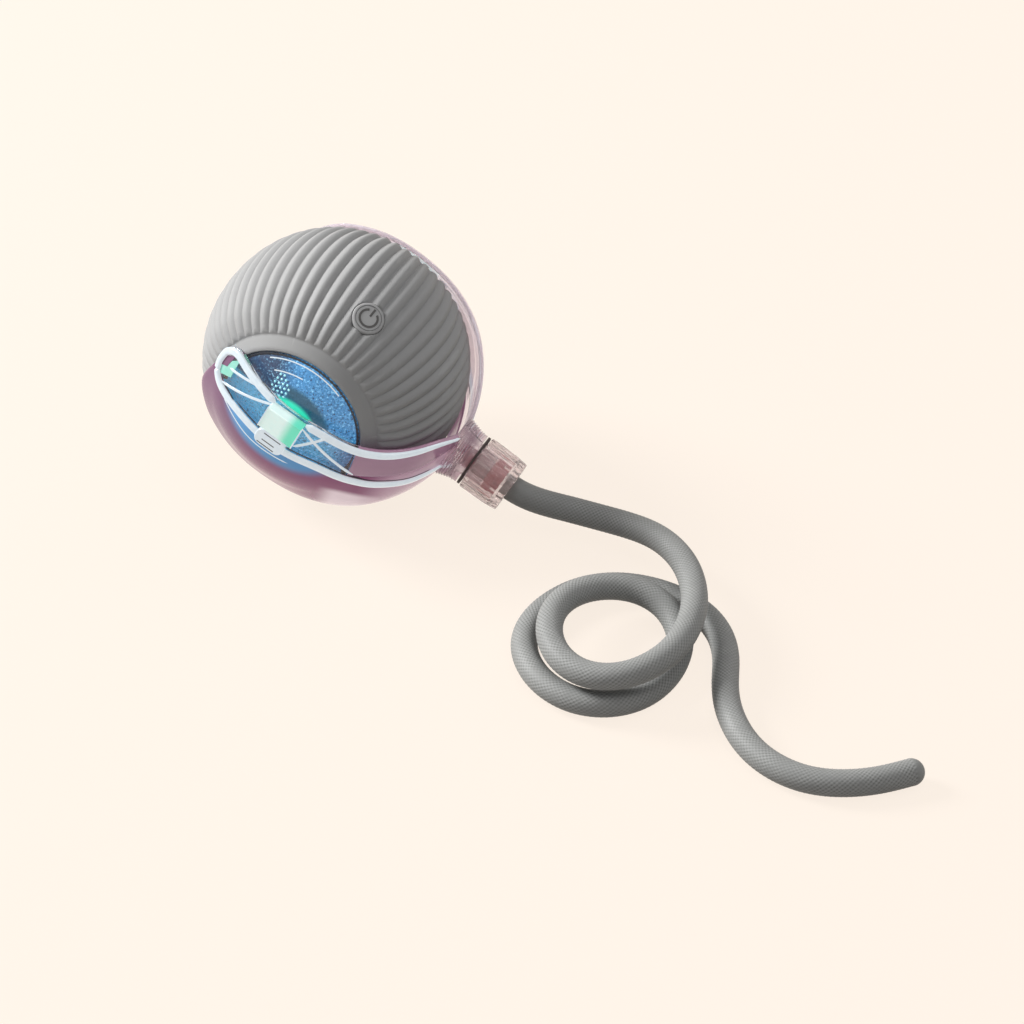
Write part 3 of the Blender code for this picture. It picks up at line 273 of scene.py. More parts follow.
finishes = {
    "sleeve": surface("greySilicone", (0.31, 0.31, 0.308), (0.285, 0.285, 0.283), (0.55, 0.66),
                      grainScale=2600.0, grainDepth=0.2, Specular_IOR_Level=0.22,
                      # painted shade in the grooves between the ribs and a painted highlight on their crests
                      paintedGrooveShade={"Hollow": (0.255, 0.255, 0.255), "Ridge": (0.335, 0.335, 0.332),
                                   "Spread": 0.07}),
    "symbol": surface("engravedSymbol", (0.045, 0.045, 0.045), (0.06, 0.06, 0.06), (0.6, 0.7)),
    # the clear rails glow white: painted light that keeps them bright on their shaded side
    "rail": surface("clearRail", (0.34, 0.38, 0.40), (0.14, 0.20, 0.26), (0.06, 0.14), grainScale=700.0,
                    grainDepth=0.25, driftScale=700.0, IOR=1.47, Coat_Weight=0.4, Coat_Roughness=0.05,
                    Emission_Color=(0.86, 0.93, 0.97), Emission_Strength=0.54),
    "clear": tinted(surface("clearBand", (0.93, 0.90, 0.95), (0.90, 0.86, 0.93), (0.02, 0.06),
                            grainScale=500.0, grainDepth=0.03, driftScale=80.0, Transmission_Weight=1.0,
                            IOR=1.47),
                    (0.66, 0.50, 0.60), 11 * mm, 19 * mm, 1.0, "Base Color"),
    # the mauve veil glows a little in its own colour: painted light
    "veil": surface("mauveVeil", (0.46, 0.27, 0.38), (0.40, 0.21, 0.32), (0.08, 0.16), grainScale=500.0,
                    grainDepth=0.03, driftScale=80.0, Transmission_Weight=0.4, IOR=1.47, Coat_Weight=0.4,
                    Coat_Roughness=0.04, Emission_Color=(0.46, 0.27, 0.38), Emission_Strength=0.15),
    # the back arm's skirt: the same mauve plastic painted pale, a painted highlight, with a faint glow of
    # painted light
    "pale": surface("paleSkirt", (0.88, 0.80, 0.84), (0.72, 0.58, 0.64), (0.06, 0.14), grainScale=500.0,
                    grainDepth=0.05, driftScale=120.0, Transmission_Weight=0.8, IOR=1.47, Coat_Weight=0.7,
                    Coat_Roughness=0.04, Emission_Color=(0.86, 0.78, 0.82), Emission_Strength=0.1),
    "nut": surface("clearNut", (0.96, 0.92, 0.92), (0.72, 0.58, 0.60), (0.03, 0.12), grainScale=1500.0,
                   grainDepth=0.5, driftScale=900.0, Transmission_Weight=0.9, IOR=1.47),
    "collar": surface("clearCollar", (0.95, 0.88, 0.92), (0.62, 0.46, 0.54), (0.03, 0.12), grainScale=1500.0,
                      grainDepth=0.5, driftScale=900.0, Transmission_Weight=0.85, IOR=1.47),
    # the plug glows a little in its own colour: painted light
    "plug": surface("maroonPlug", (0.36, 0.045, 0.07), (0.24, 0.025, 0.045), (0.25, 0.4), driftScale=400.0,
                    Emission_Color=(0.30, 0.035, 0.05), Emission_Strength=0.12),
    # painted shadow: a near black piece that stands for the shadow line in the gap between collar and nut
    "joint": surface("gapShadowWasher", (0.02, 0.012, 0.012), (0.035, 0.02, 0.02), (0.6, 0.75)),
    "rim": surface("windowRim", (0.008, 0.010, 0.016), (0.015, 0.018, 0.03), (0.3, 0.5), Coat_Weight=0.4),
    "shell": surface("paleShell", (0.58, 0.60, 0.62), (0.54, 0.56, 0.58), (0.3, 0.42)),
    "steel": surface("plainSteel", (0.55, 0.55, 0.57), (0.48, 0.48, 0.50), (0.22, 0.38), grainScale=1500.0,
                     Metallic=1.0),
    "brass": surface("turnedBrass", (0.70, 0.50, 0.20), (0.60, 0.42, 0.16), (0.25, 0.4), Metallic=1.0),
    "board": surface("circuitBoard", (0.02, 0.16, 0.07), (0.03, 0.22, 0.10), (0.3, 0.45), driftScale=600.0),
    "black": surface("blackPlastic", (0.02, 0.02, 0.023), (0.03, 0.03, 0.034), (0.4, 0.55)),
    "gear": surface("gearPlastic", (0.74, 0.74, 0.70), (0.66, 0.66, 0.62), (0.3, 0.45)),
    "cell": surface("cellWrap", (0.06, 0.16, 0.38), (0.08, 0.20, 0.45), (0.25, 0.4)),
    "dome": glow("greenLamp", (0.10, 0.62, 0.48), (0.55, 0.92, 0.85), (0.05, 0.75, 0.50), 0.55, 300.0,
                 (0.1, 0.2), Coat_Weight=0.5),
    "lamp": glow("lampDots", (0.45, 0.80, 0.85), (0.20, 0.55, 0.65), (0.45, 0.85, 0.90), 0.45, 2000.0,
                 (0.1, 0.2)),
    "mint": glow("mintGlow", (0.10, 0.36, 0.27), (0.26, 0.46, 0.42), (0.10, 0.62, 0.45), 0.35, 700.0,
                 (0.2, 0.3), Coat_Weight=0.3),
    # pale insert of the hub, green where the lamp behind it shines through
    "hub": tinted(glow("clearHub", (0.80, 0.92, 0.88), (0.66, 0.84, 0.80), (0.66, 0.92, 0.85), 0.34, 900.0,
                       (0.08, 0.2), Coat_Weight=0.5),
                  (0.06, 0.68, 0.44), 0.2 * mm, 3.2 * mm, 0.9, "Base Color", "Emission Color"),
}
print("finishes mixed")


# helpers that make meshes

def newPiece(name, points, faces, material, body, place=None, slot=None, sharpDeg=40):
    mesh = bpy.data.meshes.new(name)
    mesh.from_pydata([tuple(point) for point in points], [], faces)
    work = bmesh.new()
    work.from_mesh(mesh)
    bmesh.ops.recalc_face_normals(work, faces=work.faces)
    work.to_mesh(mesh)
    work.free()
    mesh.shade_smooth()
    mesh.set_sharp_from_angle(angle=math.radians(sharpDeg))
    mesh.materials.append(material)
    piece = addObject(name, mesh)
    piece.matrix_world = place or Matrix()
    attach(piece, body)
    return piece


def rounded(piece, width, segments=3):
    step = piece.modifiers.new("rounded", "BEVEL")
    step.width = width
    step.segments = segments
    step.limit_method = "ANGLE"
    step.harden_normals = False


def cut(piece, cutter):
    # takes the cutter's shape out of the piece at once, so that nothing hidden has to ride along
    step = piece.modifiers.new("cut", "BOOLEAN")
    step.operation = "DIFFERENCE"
    step.object = cutter
    step.solver = "EXACT"
    bpy.context.view_layer.update()
    fresh = bpy.data.meshes.new_from_object(piece.evaluated_get(bpy.context.evaluated_depsgraph_get()))
    piece.modifiers.clear()
    piece.data = fresh
    bpy.data.objects.remove(cutter, do_unlink=True)


def turned(profile, sides):
    # a profile of (radius, height) pairs turned round Z, closed where a radius is zero
    points, rings = [], []
    for radius, height in profile:
        if radius == 0:
            rings.append([len(points)])
            points.append((0, 0, height))
            continue
        rings.append([len(points) + k for k in range(sides)])
        for k in range(sides):
            angle = math.tau * k / sides
            points.append((radius * math.cos(angle), radius * math.sin(angle), height))
    faces = []
    for first, second in zip(rings, rings[1:] + rings[:1]):
        if len(first) == 1 and len(second) == 1:
            continue
        for k in range(sides):
            after = (k + 1) % sides
            corners = [first[k % len(first)], first[after % len(first)]]
            corners += [second[after % len(second)], second[k % len(second)]]
            faces.append(tuple(dict.fromkeys(corners)))
    return points, faces


def ringed(rows, columns, joined=False):
    # faces of a tube of rings, with flat ends or with its last ring joined to its first
    faces = []
    for row in range(rows if joined else rows - 1):
        low, high = row * columns, (row + 1) % rows * columns
        for column in range(columns):
            after = (column + 1) % columns
            faces.append((low + column, low + after, high + after, high + column))
    if not joined:
        faces.append(tuple(range(columns)))
        faces.append(tuple(range(columns * (rows - 1), columns * rows)))
    return faces


def ringAt(turns, radius, height):
    # points round Z at the given angles, at one radius or one for each angle
    height = np.full(len(turns), height)
    return list(np.stack([radius * np.cos(turns), radius * np.sin(turns), height], axis=1))


def block(low, high):
    corners = [(x, y, z) for z in (low[2], high[2]) for x, y in
               ((low[0], low[1]), (high[0], low[1]), (high[0], high[1]), (low[0], high[1]))]
    return corners, [(0, 1, 2, 3), (4, 5, 6, 7), (0, 1, 5, 4), (1, 2, 6, 5), (2, 3, 7, 6), (3, 0, 4, 7)]


def smoothCurve(route, count):
    # evenly spaced points on the natural cubic spline through a route
    route = np.array(route, dtype=float)
    steps = np.linalg.norm(np.diff(route, axis=0), axis=1)
    at = np.concatenate([[0.0], np.cumsum(steps)])
    size = len(route)
    system = np.eye(size)
    target = np.zeros(route.shape)
    slopes = np.diff(route, axis=0) / steps[:, None]
    for k in range(1, size - 1):
        system[k, k - 1:k + 2] = steps[k - 1], 2 * (steps[k - 1] + steps[k]), steps[k]
        target[k] = 6 * (slopes[k] - slopes[k - 1])
    bend = np.linalg.solve(system, target)

    def place(where):
        part = np.clip(np.searchsorted(at, where, side="right") - 1, 0, size - 2)
        after = (where - at[part])[:, None]
        before = (at[part + 1] - where)[:, None]
        span = steps[part][:, None]
        start = route[part] / span - bend[part] * span / 6
        end = route[part + 1] / span - bend[part + 1] * span / 6
        curve = (bend[part] * before**3 + bend[part + 1] * after**3) / (6 * span)
        return curve + start * before + end * after

    fine = place(np.linspace(0.0, at[-1], 24 * count))
    along = np.concatenate([[0.0], np.cumsum(np.linalg.norm(np.diff(fine, axis=0), axis=1))])
    even = np.linspace(0.0, along[-1], count)
    return np.stack([np.interp(even, along, fine[:, axis]) for axis in range(route.shape[1])], axis=1)


# the tail: a soft round cord with a fine raised weave

tail = {
    "radius": 3.2 * mm, "start": 49.45 * mm, "lead": 2.55 * mm, "length": 0.3842, "rings": 1400, "sides": 80,
    "bead": 0.16 * mm, "beadPitch": 0.55 * mm, "beadFullness": 0.7, "fadeRings": 60, "plainTone": 0.45,
    "tipTone": 0.5, "tipRings": 10,
    "route": (
        (0.0525, 0.0006, 0.0082), (0.0604, 0.0022, 0.0071), (0.0682, 0.0031, 0.0068),
        (0.0762, 0.0027, 0.0075), (0.0837, 0.0005, 0.0089), (0.0904, -0.0036, 0.0103),
        (0.0961, -0.0090, 0.0114), (0.1008, -0.0155, 0.0121), (0.1042, -0.0227, 0.0124),
        (0.1059, -0.0305, 0.0125), (0.1057, -0.0384, 0.0123), (0.1028, -0.0459, 0.0117),
        (0.0972, -0.0512, 0.0108), (0.0894, -0.0527, 0.0102), (0.0822, -0.0498, 0.0104),
        (0.0771, -0.0436, 0.0108), (0.0751, -0.0358, 0.0107), (0.0765, -0.0281, 0.0100),
        (0.0812, -0.0217, 0.0090), (0.0881, -0.0182, 0.0077), (0.0958, -0.0190, 0.0059),
        (0.1015, -0.0240, 0.0040), (0.1041, -0.0315, 0.0033), (0.1043, -0.0394, 0.0033),
        (0.1019, -0.0470, 0.0033), (0.0964, -0.0527, 0.0033), (0.0888, -0.0549, 0.0033),
        (0.0811, -0.0532, 0.0033), (0.0746, -0.0486, 0.0033), (0.0702, -0.0420, 0.0033),
        (0.0689, -0.0341, 0.0033), (0.0704, -0.0264, 0.0033), (0.0743, -0.0193, 0.0033),
        (0.0805, -0.0143, 0.0033), (0.0880, -0.0120, 0.0033), (0.0961, -0.0121, 0.0033),
        (0.1036, -0.0145, 0.0033), (0.1099, -0.0195, 0.0033), (0.1142, -0.0261, 0.0033),
        (0.1173, -0.0335, 0.0033), (0.1209, -0.0405, 0.0033), (0.1259, -0.0469, 0.0033),
        (0.1319, -0.0519, 0.0033), (0.1394, -0.0551, 0.0033), (0.1472, -0.0556, 0.0033),
        (0.1549, -0.0531, 0.0033), (0.1614, -0.0487, 0.0033), (0.1671, -0.0429, 0.0033),
    ),
}


def tailFinish():
    # grey silicone with painted highlights on the beads and painted shade in the gaps between them, read from
    # the weave's own height
    material = surface("tailWeave", (0.25, 0.253, 0.246), (0.21, 0.213, 0.206), (0.5, 0.68),
                       grainScale=4200.0, grainDepth=0.3, driftScale=90.0, Specular_IOR_Level=0.35)
    tree, shader = shaderOf(material)
    height = addNode(tree, "Attribute", attribute_name="bead").outputs["Fac"]
    tone = addNode(tree, "ValToRGB", {"Fac": height})
    seam, bead = tone.color_ramp.elements
    seam.position, seam.color = 0.05, (0.42, 0.42, 0.41, 1)
    bead.position, bead.color = 0.95, (1.5, 1.5, 1.5, 1)
    # the painted bead shading is weaker in random patches
    patchNoise = addNode(tree, "TexNoise", {"Vector": ownPlace(tree), "Scale": 420.0, "Detail": 2.0})
    shadingStrength = addNode(tree, "MapRange", {"Value": patchNoise.outputs["Fac"], "From Min": 0.35, "From Max": 0.6,
                                      "To Min": 0.35})
    grey = shader.inputs["Base Color"].links[0].from_socket
    woven = mixColours(tree, shadingStrength.outputs["Result"], grey, tone.outputs["Color"], "MULTIPLY")
    give(tree, shader, {"Base Color": woven})
    return material


def makeTail():
    starts = [tuple(ballMiddle + toTail * along) for along in (tail["start"], tail["start"] + tail["lead"])]
    path = smoothCurve(starts + list(tail["route"]), tail["rings"])
    ahead = np.gradient(path, axis=0)
    ahead /= np.linalg.norm(ahead, axis=1)[:, None]
    sideways = np.cross(ahead[0], (0.0, 0.0, 1.0))
    turns = np.arange(tail["sides"]) * math.tau / tail["sides"]
    points, height = [], []

    def addRing(middle, radius):
        # sideways and upright are the ones of the ring that the loops are at
        across, up = np.outer(np.cos(turns) * radius, sideways), np.outer(np.sin(turns) * radius, upright)
        points.extend(middle + across + up)

    # the first rings stay plain, where the nut holds the tail
    spacing = tail["length"] / tail["rings"]
    plain = int(tail["lead"] / spacing)
    for ring, (middle, forward) in enumerate(zip(path, ahead)):
        sideways = sideways - forward * sideways.dot(forward)
        sideways /= np.linalg.norm(sideways)
        upright = np.cross(sideways, forward)
        row = math.cos(math.pi * ring * spacing / tail["beadPitch"])
        weave = ((np.cos(turns * tail["sides"] / 4) * row + 1) / 2) ** tail["beadFullness"]
        fade = min(1.0, max(0.0, (ring - plain) / tail["fadeRings"]))
        addRing(middle, tail["radius"] - tail["bead"] * (1 - weave) * fade - tail["bead"] * (1 - fade) / 2)
        height += list(weave * fade + (1 - fade) * tail["plainTone"])
    for step in range(1, tail["tipRings"] + 1):
        share = math.sin(math.pi / 2 * step / (tail["tipRings"] + 0.6))
        addRing(path[-1] + ahead[-1] * tail["radius"] * share, tail["radius"] * math.sqrt(1 - share**2))
        height += [tail["tipTone"]] * tail["sides"]
    faces = ringed(tail["rings"] + tail["tipRings"], tail["sides"])
    piece = newPiece("woven_tail", points, faces, tailFinish(), "harness", slot="tail_silicone", sharpDeg=80)
    bead = piece.data.attributes.new("bead", "FLOAT", "POINT")
    bead.data.foreach_set("value", np.array(height, dtype=np.float32))
    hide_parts("tail")


makeTail()
print("tail laid")


# the ribbed sleeve

sleeve = {
    "ribs": 57, "columns": 16, "depth": 0.9 * mm, "crown": 1.7, "inside": 28.95 * mm, "lip": 18.06 * mm,
    "hole": 4.05 * mm, "belt": 31.85 * mm, "beltHalf": 12 * mm, "bow": 13.494, "bowEdge": 11667,
    "crestDeg": (38.0, 44.9, 45.5, 46.2, 47.5, 50.0, 53.5, 57.0, 60.0, 90.0),
    "crest": (29.9, 29.9, 30.0, 30.38, 30.78, 31.16, 31.62, 31.94, 32.0, 32.0),
    "floorDeg": (38.0, 45.5, 47.5, 50.0, 53.5, 57.0, 60.0, 90.0),
    "floor": (29.9, 29.9, 29.93, 30.26, 30.72, 31.05, 31.09, 31.09),
    "edgeDeg": (38.0, 40.0, 42.5, 44.4, 44.9, 45.3, 45.7, 46.2, 46.8, 47.5, 48.5, 50.0, 51.7, 53.5, 55.2,
                57.0, 59.0),
    "beltDeg": (61.0, 90.0, 15), "insideDeg": (141.0, 39.0, 12),
}


def makeSleeve():
    count = sleeve["ribs"] * sleeve["columns"]
    turns = np.arange(count) * math.tau / count - math.pi / 2
    phase = (np.arange(count) / sleeve["columns"]) % 1.0
    # round crests that fall to a narrow groove between two ribs
    fall = (2 * np.minimum(phase, 1 - phase)) ** sleeve["crown"]
    rows = []
    for polarDeg in (*sleeve["edgeDeg"], *np.linspace(*sleeve["beltDeg"])):
        crest = np.interp(polarDeg, sleeve["crestDeg"], sleeve["crest"]) * mm
        floor = np.interp(polarDeg, sleeve["floorDeg"], sleeve["floor"]) * mm
        polar = math.radians(polarDeg)
        height, outside = crest * math.cos(polar), crest * math.sin(polar)
        if height < sleeve["beltHalf"]:  # the belt that the ball rolls on is a little flatter than the sphere
            outside = sleeve["belt"] - sleeve["bow"] * height**2 - sleeve["bowEdge"] * height**4
        rows.append((height, outside - min(crest - floor, sleeve["depth"]) * fall))
    lip, edge = sleeve["lip"], rows[0][0]
    front = [(edge - 1.0 * mm, lip), (edge - 0.25 * mm, lip), (edge - 0.06 * mm, lip + 0.12 * mm)] + rows
    rings = front + [(-height, radius) for height, radius in front[-2::-1]]
    for polar in np.radians(np.linspace(*sleeve["insideDeg"])):
        rings.append((sleeve["inside"] * math.cos(polar), sleeve["inside"] * math.sin(polar)))
    points = []
    for height, radius in rings:
        points += ringAt(turns, radius, height)
    piece = newPiece("fine_sleeve", points, ringed(len(rings), count, joined=True), finishes["sleeve"],
                     "ball", ballPlace, "sleeve_silicone", 100)
    hole = [(0, 25 * mm), (sleeve["hole"], 25 * mm), (sleeve["hole"], 34 * mm), (0, 34 * mm)]
    cut(piece, newPiece("cutter", *turned(hole, 64), finishes["sleeve"], "ball", buttonPlace))
    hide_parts("ribbed_sleeve")


makeSleeve()
print("sleeve ribbed")


# the power button and its generic symbol

button = {"radius": 3.9 * mm, "top": 32.0 * mm, "foot": 29.6 * mm, "ring": 2.15 * mm, "line": 0.27 * mm,
          "gapDeg": 62, "bar": (0.55 * mm, 2.75 * mm), "lift": 0.05 * mm, "sunk": 0.2 * mm,
          "groove": 3.1 * mm, "grooveHalf": 0.16 * mm, "arcSteps": 48}


def symbolArc(low, high):
    ring, line, gap, steps = button["ring"], button["line"], button["gapDeg"], button["arcSteps"]
    points = []
    for k in range(steps + 1):
        angle = math.radians(90 + gap / 2 + (360 - gap) * k / steps)
        for side, height in ((-line, low), (line, low), (line, high), (-line, high)):
            radius = ring + side
            points.append((radius * math.cos(angle), radius * math.sin(angle), height))
    return points, ringed(steps + 1, 4)


def makeButton():
    top, radius, groove, half = button["top"], button["radius"], button["groove"], button["grooveHalf"]
    profile = [(0, button["foot"]), (radius, button["foot"]), (radius, top - 0.35 * mm),
               (radius - 0.1 * mm, top - 0.14 * mm), (radius - 0.3 * mm, top - 0.04 * mm),
               (groove + half, top - 0.02 * mm), (groove + 0.05 * mm, top - 0.22 * mm),
               (groove - 0.05 * mm, top - 0.22 * mm), (groove - half, top - 0.01 * mm), (0, top)]
    piece = newPiece("round_button", *turned(profile, 72), finishes["sleeve"], "button", buttonPlace,
                     "sleeve_silicone", 50)
    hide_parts("power_button")
    low, high, line = top - button["sunk"], top + button["lift"], button["line"]
    start, end = button["bar"]
    bar = block((-line, start, low), (line, end, high))
    for name, mesh in (("symbol_arc", symbolArc(low, high)), ("symbol_bar", bar)):
        piece = newPiece(name, *mesh, finishes["symbol"], "button", buttonPlace, "sleeve_silicone")
    rounded(piece, 0.05 * mm, 2)  # only the bar, which came last


makeButton()
print("button set")


# the windows, their rims, lamp dots and domes

window = {"radius": 29.3 * mm, "edge": 17.5 * mm, "thick": 1.6 * mm, "hole": 1.85 * mm, "rim": 17.4 * mm,
          "rimWidth": 0.55 * mm, "rimHeight": 0.16 * mm, "rimBeads": 96, "dome": 4.7 * mm,
          "domeSeat": 29.6 * mm, "domeRise": 0.85 * mm, "dots": (-0.85 * mm, 10.7 * mm),
          "dotsAcross": (2.7 * mm, 3.1 * mm), "dotPitch": 1.1 * mm, "dotSize": 0.32 * mm,
          "highlightArcs": ((16.75 * mm, 40, 108), (14.3 * mm, 73, 103)), "highlightWidth": 0.1 * mm, "highlightSteps": 40,
          "navy": (0.012, 0.034, 0.080)}


def windowFinish():
    # blue plastic lit from behind: navy above the lamps, blue to the right, teal below, green round the dome
    material, tree, shader = newMaterial("blueWindow")
    place = ownPlace(tree)
    split = addNode(tree, "SeparateXYZ", {"Vector": place}).outputs
    flat = addNode(tree, "CombineXYZ", {"X": split["X"], "Y": split["Y"]})
    around = addNode(tree, "VectorMath", {0: flat.outputs[0]}, operation="LENGTH").outputs["Value"]
    flecks = addNode(tree, "TexNoise", {"Vector": placeAside(tree), "Scale": 1700.0, "Detail": 3.0,
                                        "Roughness": 0.75}).outputs["Fac"]

    def slope(across, up):
        # how far a place lies along a direction on the lens
        along = addNode(tree, "VectorMath", {0: place, 1: (across, up, 0)}, operation="DOT_PRODUCT")
        return along.outputs["Value"]

    def part(*limits):
        return mask(tree, *limits)

    def both(*masks):
        return bothMasks(tree, *masks)

    x, upright = split["X"], slope(0.42, 0.91)
    colour = layered(tree, window["navy"], (
        ((0.040, 0.200, 0.430), part(x, -3 * mm, 4 * mm)),
        ((0.015, 0.250, 0.420), both(part(upright, 7.0 * mm, 5.5 * mm), part(x, 24 * mm, 8 * mm))),
        (window["navy"], both(part(slope(0.07, 1.07), 9.0 * mm, 10.2 * mm), part(x, -2 * mm, -5 * mm))),
        ((0.240, 0.560, 0.800), both(part(flecks, 0.53, 0.70), part(x, -14 * mm, 4 * mm))),
        ((0.005, 0.016, 0.045), part(flecks, 0.46, 0.34)),
        ((0.003, 0.055, 0.095), both(part(around, 12.4 * mm, 11.0 * mm, 0.9),
                                     both(part(x, -1 * mm, 2 * mm), part(upright, 4.5 * mm, 6.5 * mm)))),
        # painted lamp light: a green ring round the dome
        ((0.030, 0.640, 0.430), both(part(around, 9.2 * mm, 8.0 * mm), part(upright, 5.5 * mm, 7.0 * mm))),
    ))
    fine = placeGroup(tree, grain, {"Scale": 2600.0, "Depth": 0.35})
    give(tree, shader, {"Base Color": colour, "Emission Color": colour, "Normal": fine["Normal"],
                        "Emission Strength": 0.65, "Roughness": 0.22, "Coat Weight": 0.6,
                        "Coat Roughness": 0.06})
    return material


def capPoints(radius, start, end, steps):
    # (radius from the axle, height) along a sphere, between two distances from the axle
    return [(r, math.sqrt(radius**2 - r**2)) for r in np.linspace(start, end, steps)]


def makeWindows():
    blue = windowFinish()
    radius, hole, edge = window["radius"], window["hole"], window["edge"]
    lens = capPoints(radius, hole, edge, 14)
    lens += [(edge + 0.08 * mm, lens[-1][1] - 0.12 * mm), (edge + 0.08 * mm, lens[-1][1] - 0.5 * mm)]
    lens += capPoints(radius - window["thick"], edge - 2.2 * mm, hole, 8)
    seat, rise, wide = window["domeSeat"], window["domeRise"], window["dome"]
    dome = capPoints(seat, wide, hole, 4)
    for share in np.linspace(0.24, 1.0, 12):
        r = wide * share
        lift = rise * math.sqrt(max(0.0, 1 - share**4)) + 0.1 * mm
        dome.append((r, math.sqrt(seat**2 - r**2) + lift))
    for side, place in (("front", ballPlace), ("back", backWindowPlace)):
        piece = newPiece(f"{side}_lens", *turned(lens, 96), blue, "ball", place, "window_plastic", 30)
        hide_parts(f"{side}_window")
        piece = newPiece(f"{side}_dome", *turned(dome, 72), finishes["dome"], "ball", place,
                         "lamp_plastic", 50)
        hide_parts(f"{side}_lamp_dome")
        newPiece(f"{side}_rim", *beadedRim(), finishes["rim"], "ball", place, "inner_plastic", 80)
        newPiece(f"{side}_dots", *lampDots(), finishes["lamp"], "ball", place, "lamp_plastic")
        # the arcs are painted highlights, white and glowing where the lens shows reflections
        for number, line in enumerate(window["highlightArcs"]):
            newPiece(f"{side}_highlight_{number + 1}", *lensHighlight(*line), finishes["rail"], "ball", place,
                     "window_plastic")


def beadedRim():
    # a dark ring with a row of beads
    middle, steps, sides = window["rim"], window["rimBeads"] * 4, 10
    height = math.sqrt(window["radius"]**2 - middle**2)
    points = []
    for k in range(steps):
        angle = math.tau * k / steps
        size = 0.8 + 0.2 * math.cos(math.tau * k / 4)
        for a in np.arange(sides) * math.tau / sides:
            r = middle + window["rimWidth"] * size * math.cos(a)
            lift = window["rimHeight"] * size * math.sin(a)
            points.append((r * math.cos(angle), r * math.sin(angle), height + lift))
    return points, ringed(steps, sides, joined=True)


def lampDots():
    # small lit studs in an oval above the dome
    size, pitch = window["dotSize"], window["dotPitch"]
    (x0, y0), (wide, tall) = window["dots"], window["dotsAcross"]
    stud = turned([(0, -0.1 * mm), (size, -0.1 * mm), (size * 0.85, size * 0.3), (size * 0.5, size * 0.55),
                   (0, size * 0.62)], 10)
    points, faces = [], []
    for row in range(-4, 5):
        for column in range(-4, 5):
            across, up = (column + 0.5 * (row % 2)) * pitch, row * pitch * 0.87
            if math.hypot(across / wide, up / tall) > 1:
                continue
            x, y = x0 + across, y0 + up
            spot = Vector((x, y, math.sqrt(window["radius"]**2 - x**2 - y**2)))
            turn = Vector((0, 0, 1)).rotation_difference(spot)
            faces += [tuple(len(points) + corner for corner in face) for face in stud[1]]
            points += [spot + turn @ Vector(point) for point in stud[0]]
    return points, faces


def lensHighlight(radius, startDeg, endDeg):
    # a painted highlight: a thin raised glowing arc on the lens, along part of a circle round the axle,
    # standing for a reflection
    points = []
    for angle in np.radians(np.linspace(startDeg, endDeg, window["highlightSteps"])):
        for side, lift in ((-1, -0.1), (1, -0.1), (1, 0.07), (-1, 0.07)):
            r = radius + side * window["highlightWidth"]
            height = math.sqrt(window["radius"]**2 - r**2) + lift * mm
            points.append((r * math.cos(angle), r * math.sin(angle), height))
    return points, ringed(window["highlightSteps"], 4)


makeWindows()
print("windows lit")


# the clear arms: one curved sheet each, with rails, braces, a hub and half a collar

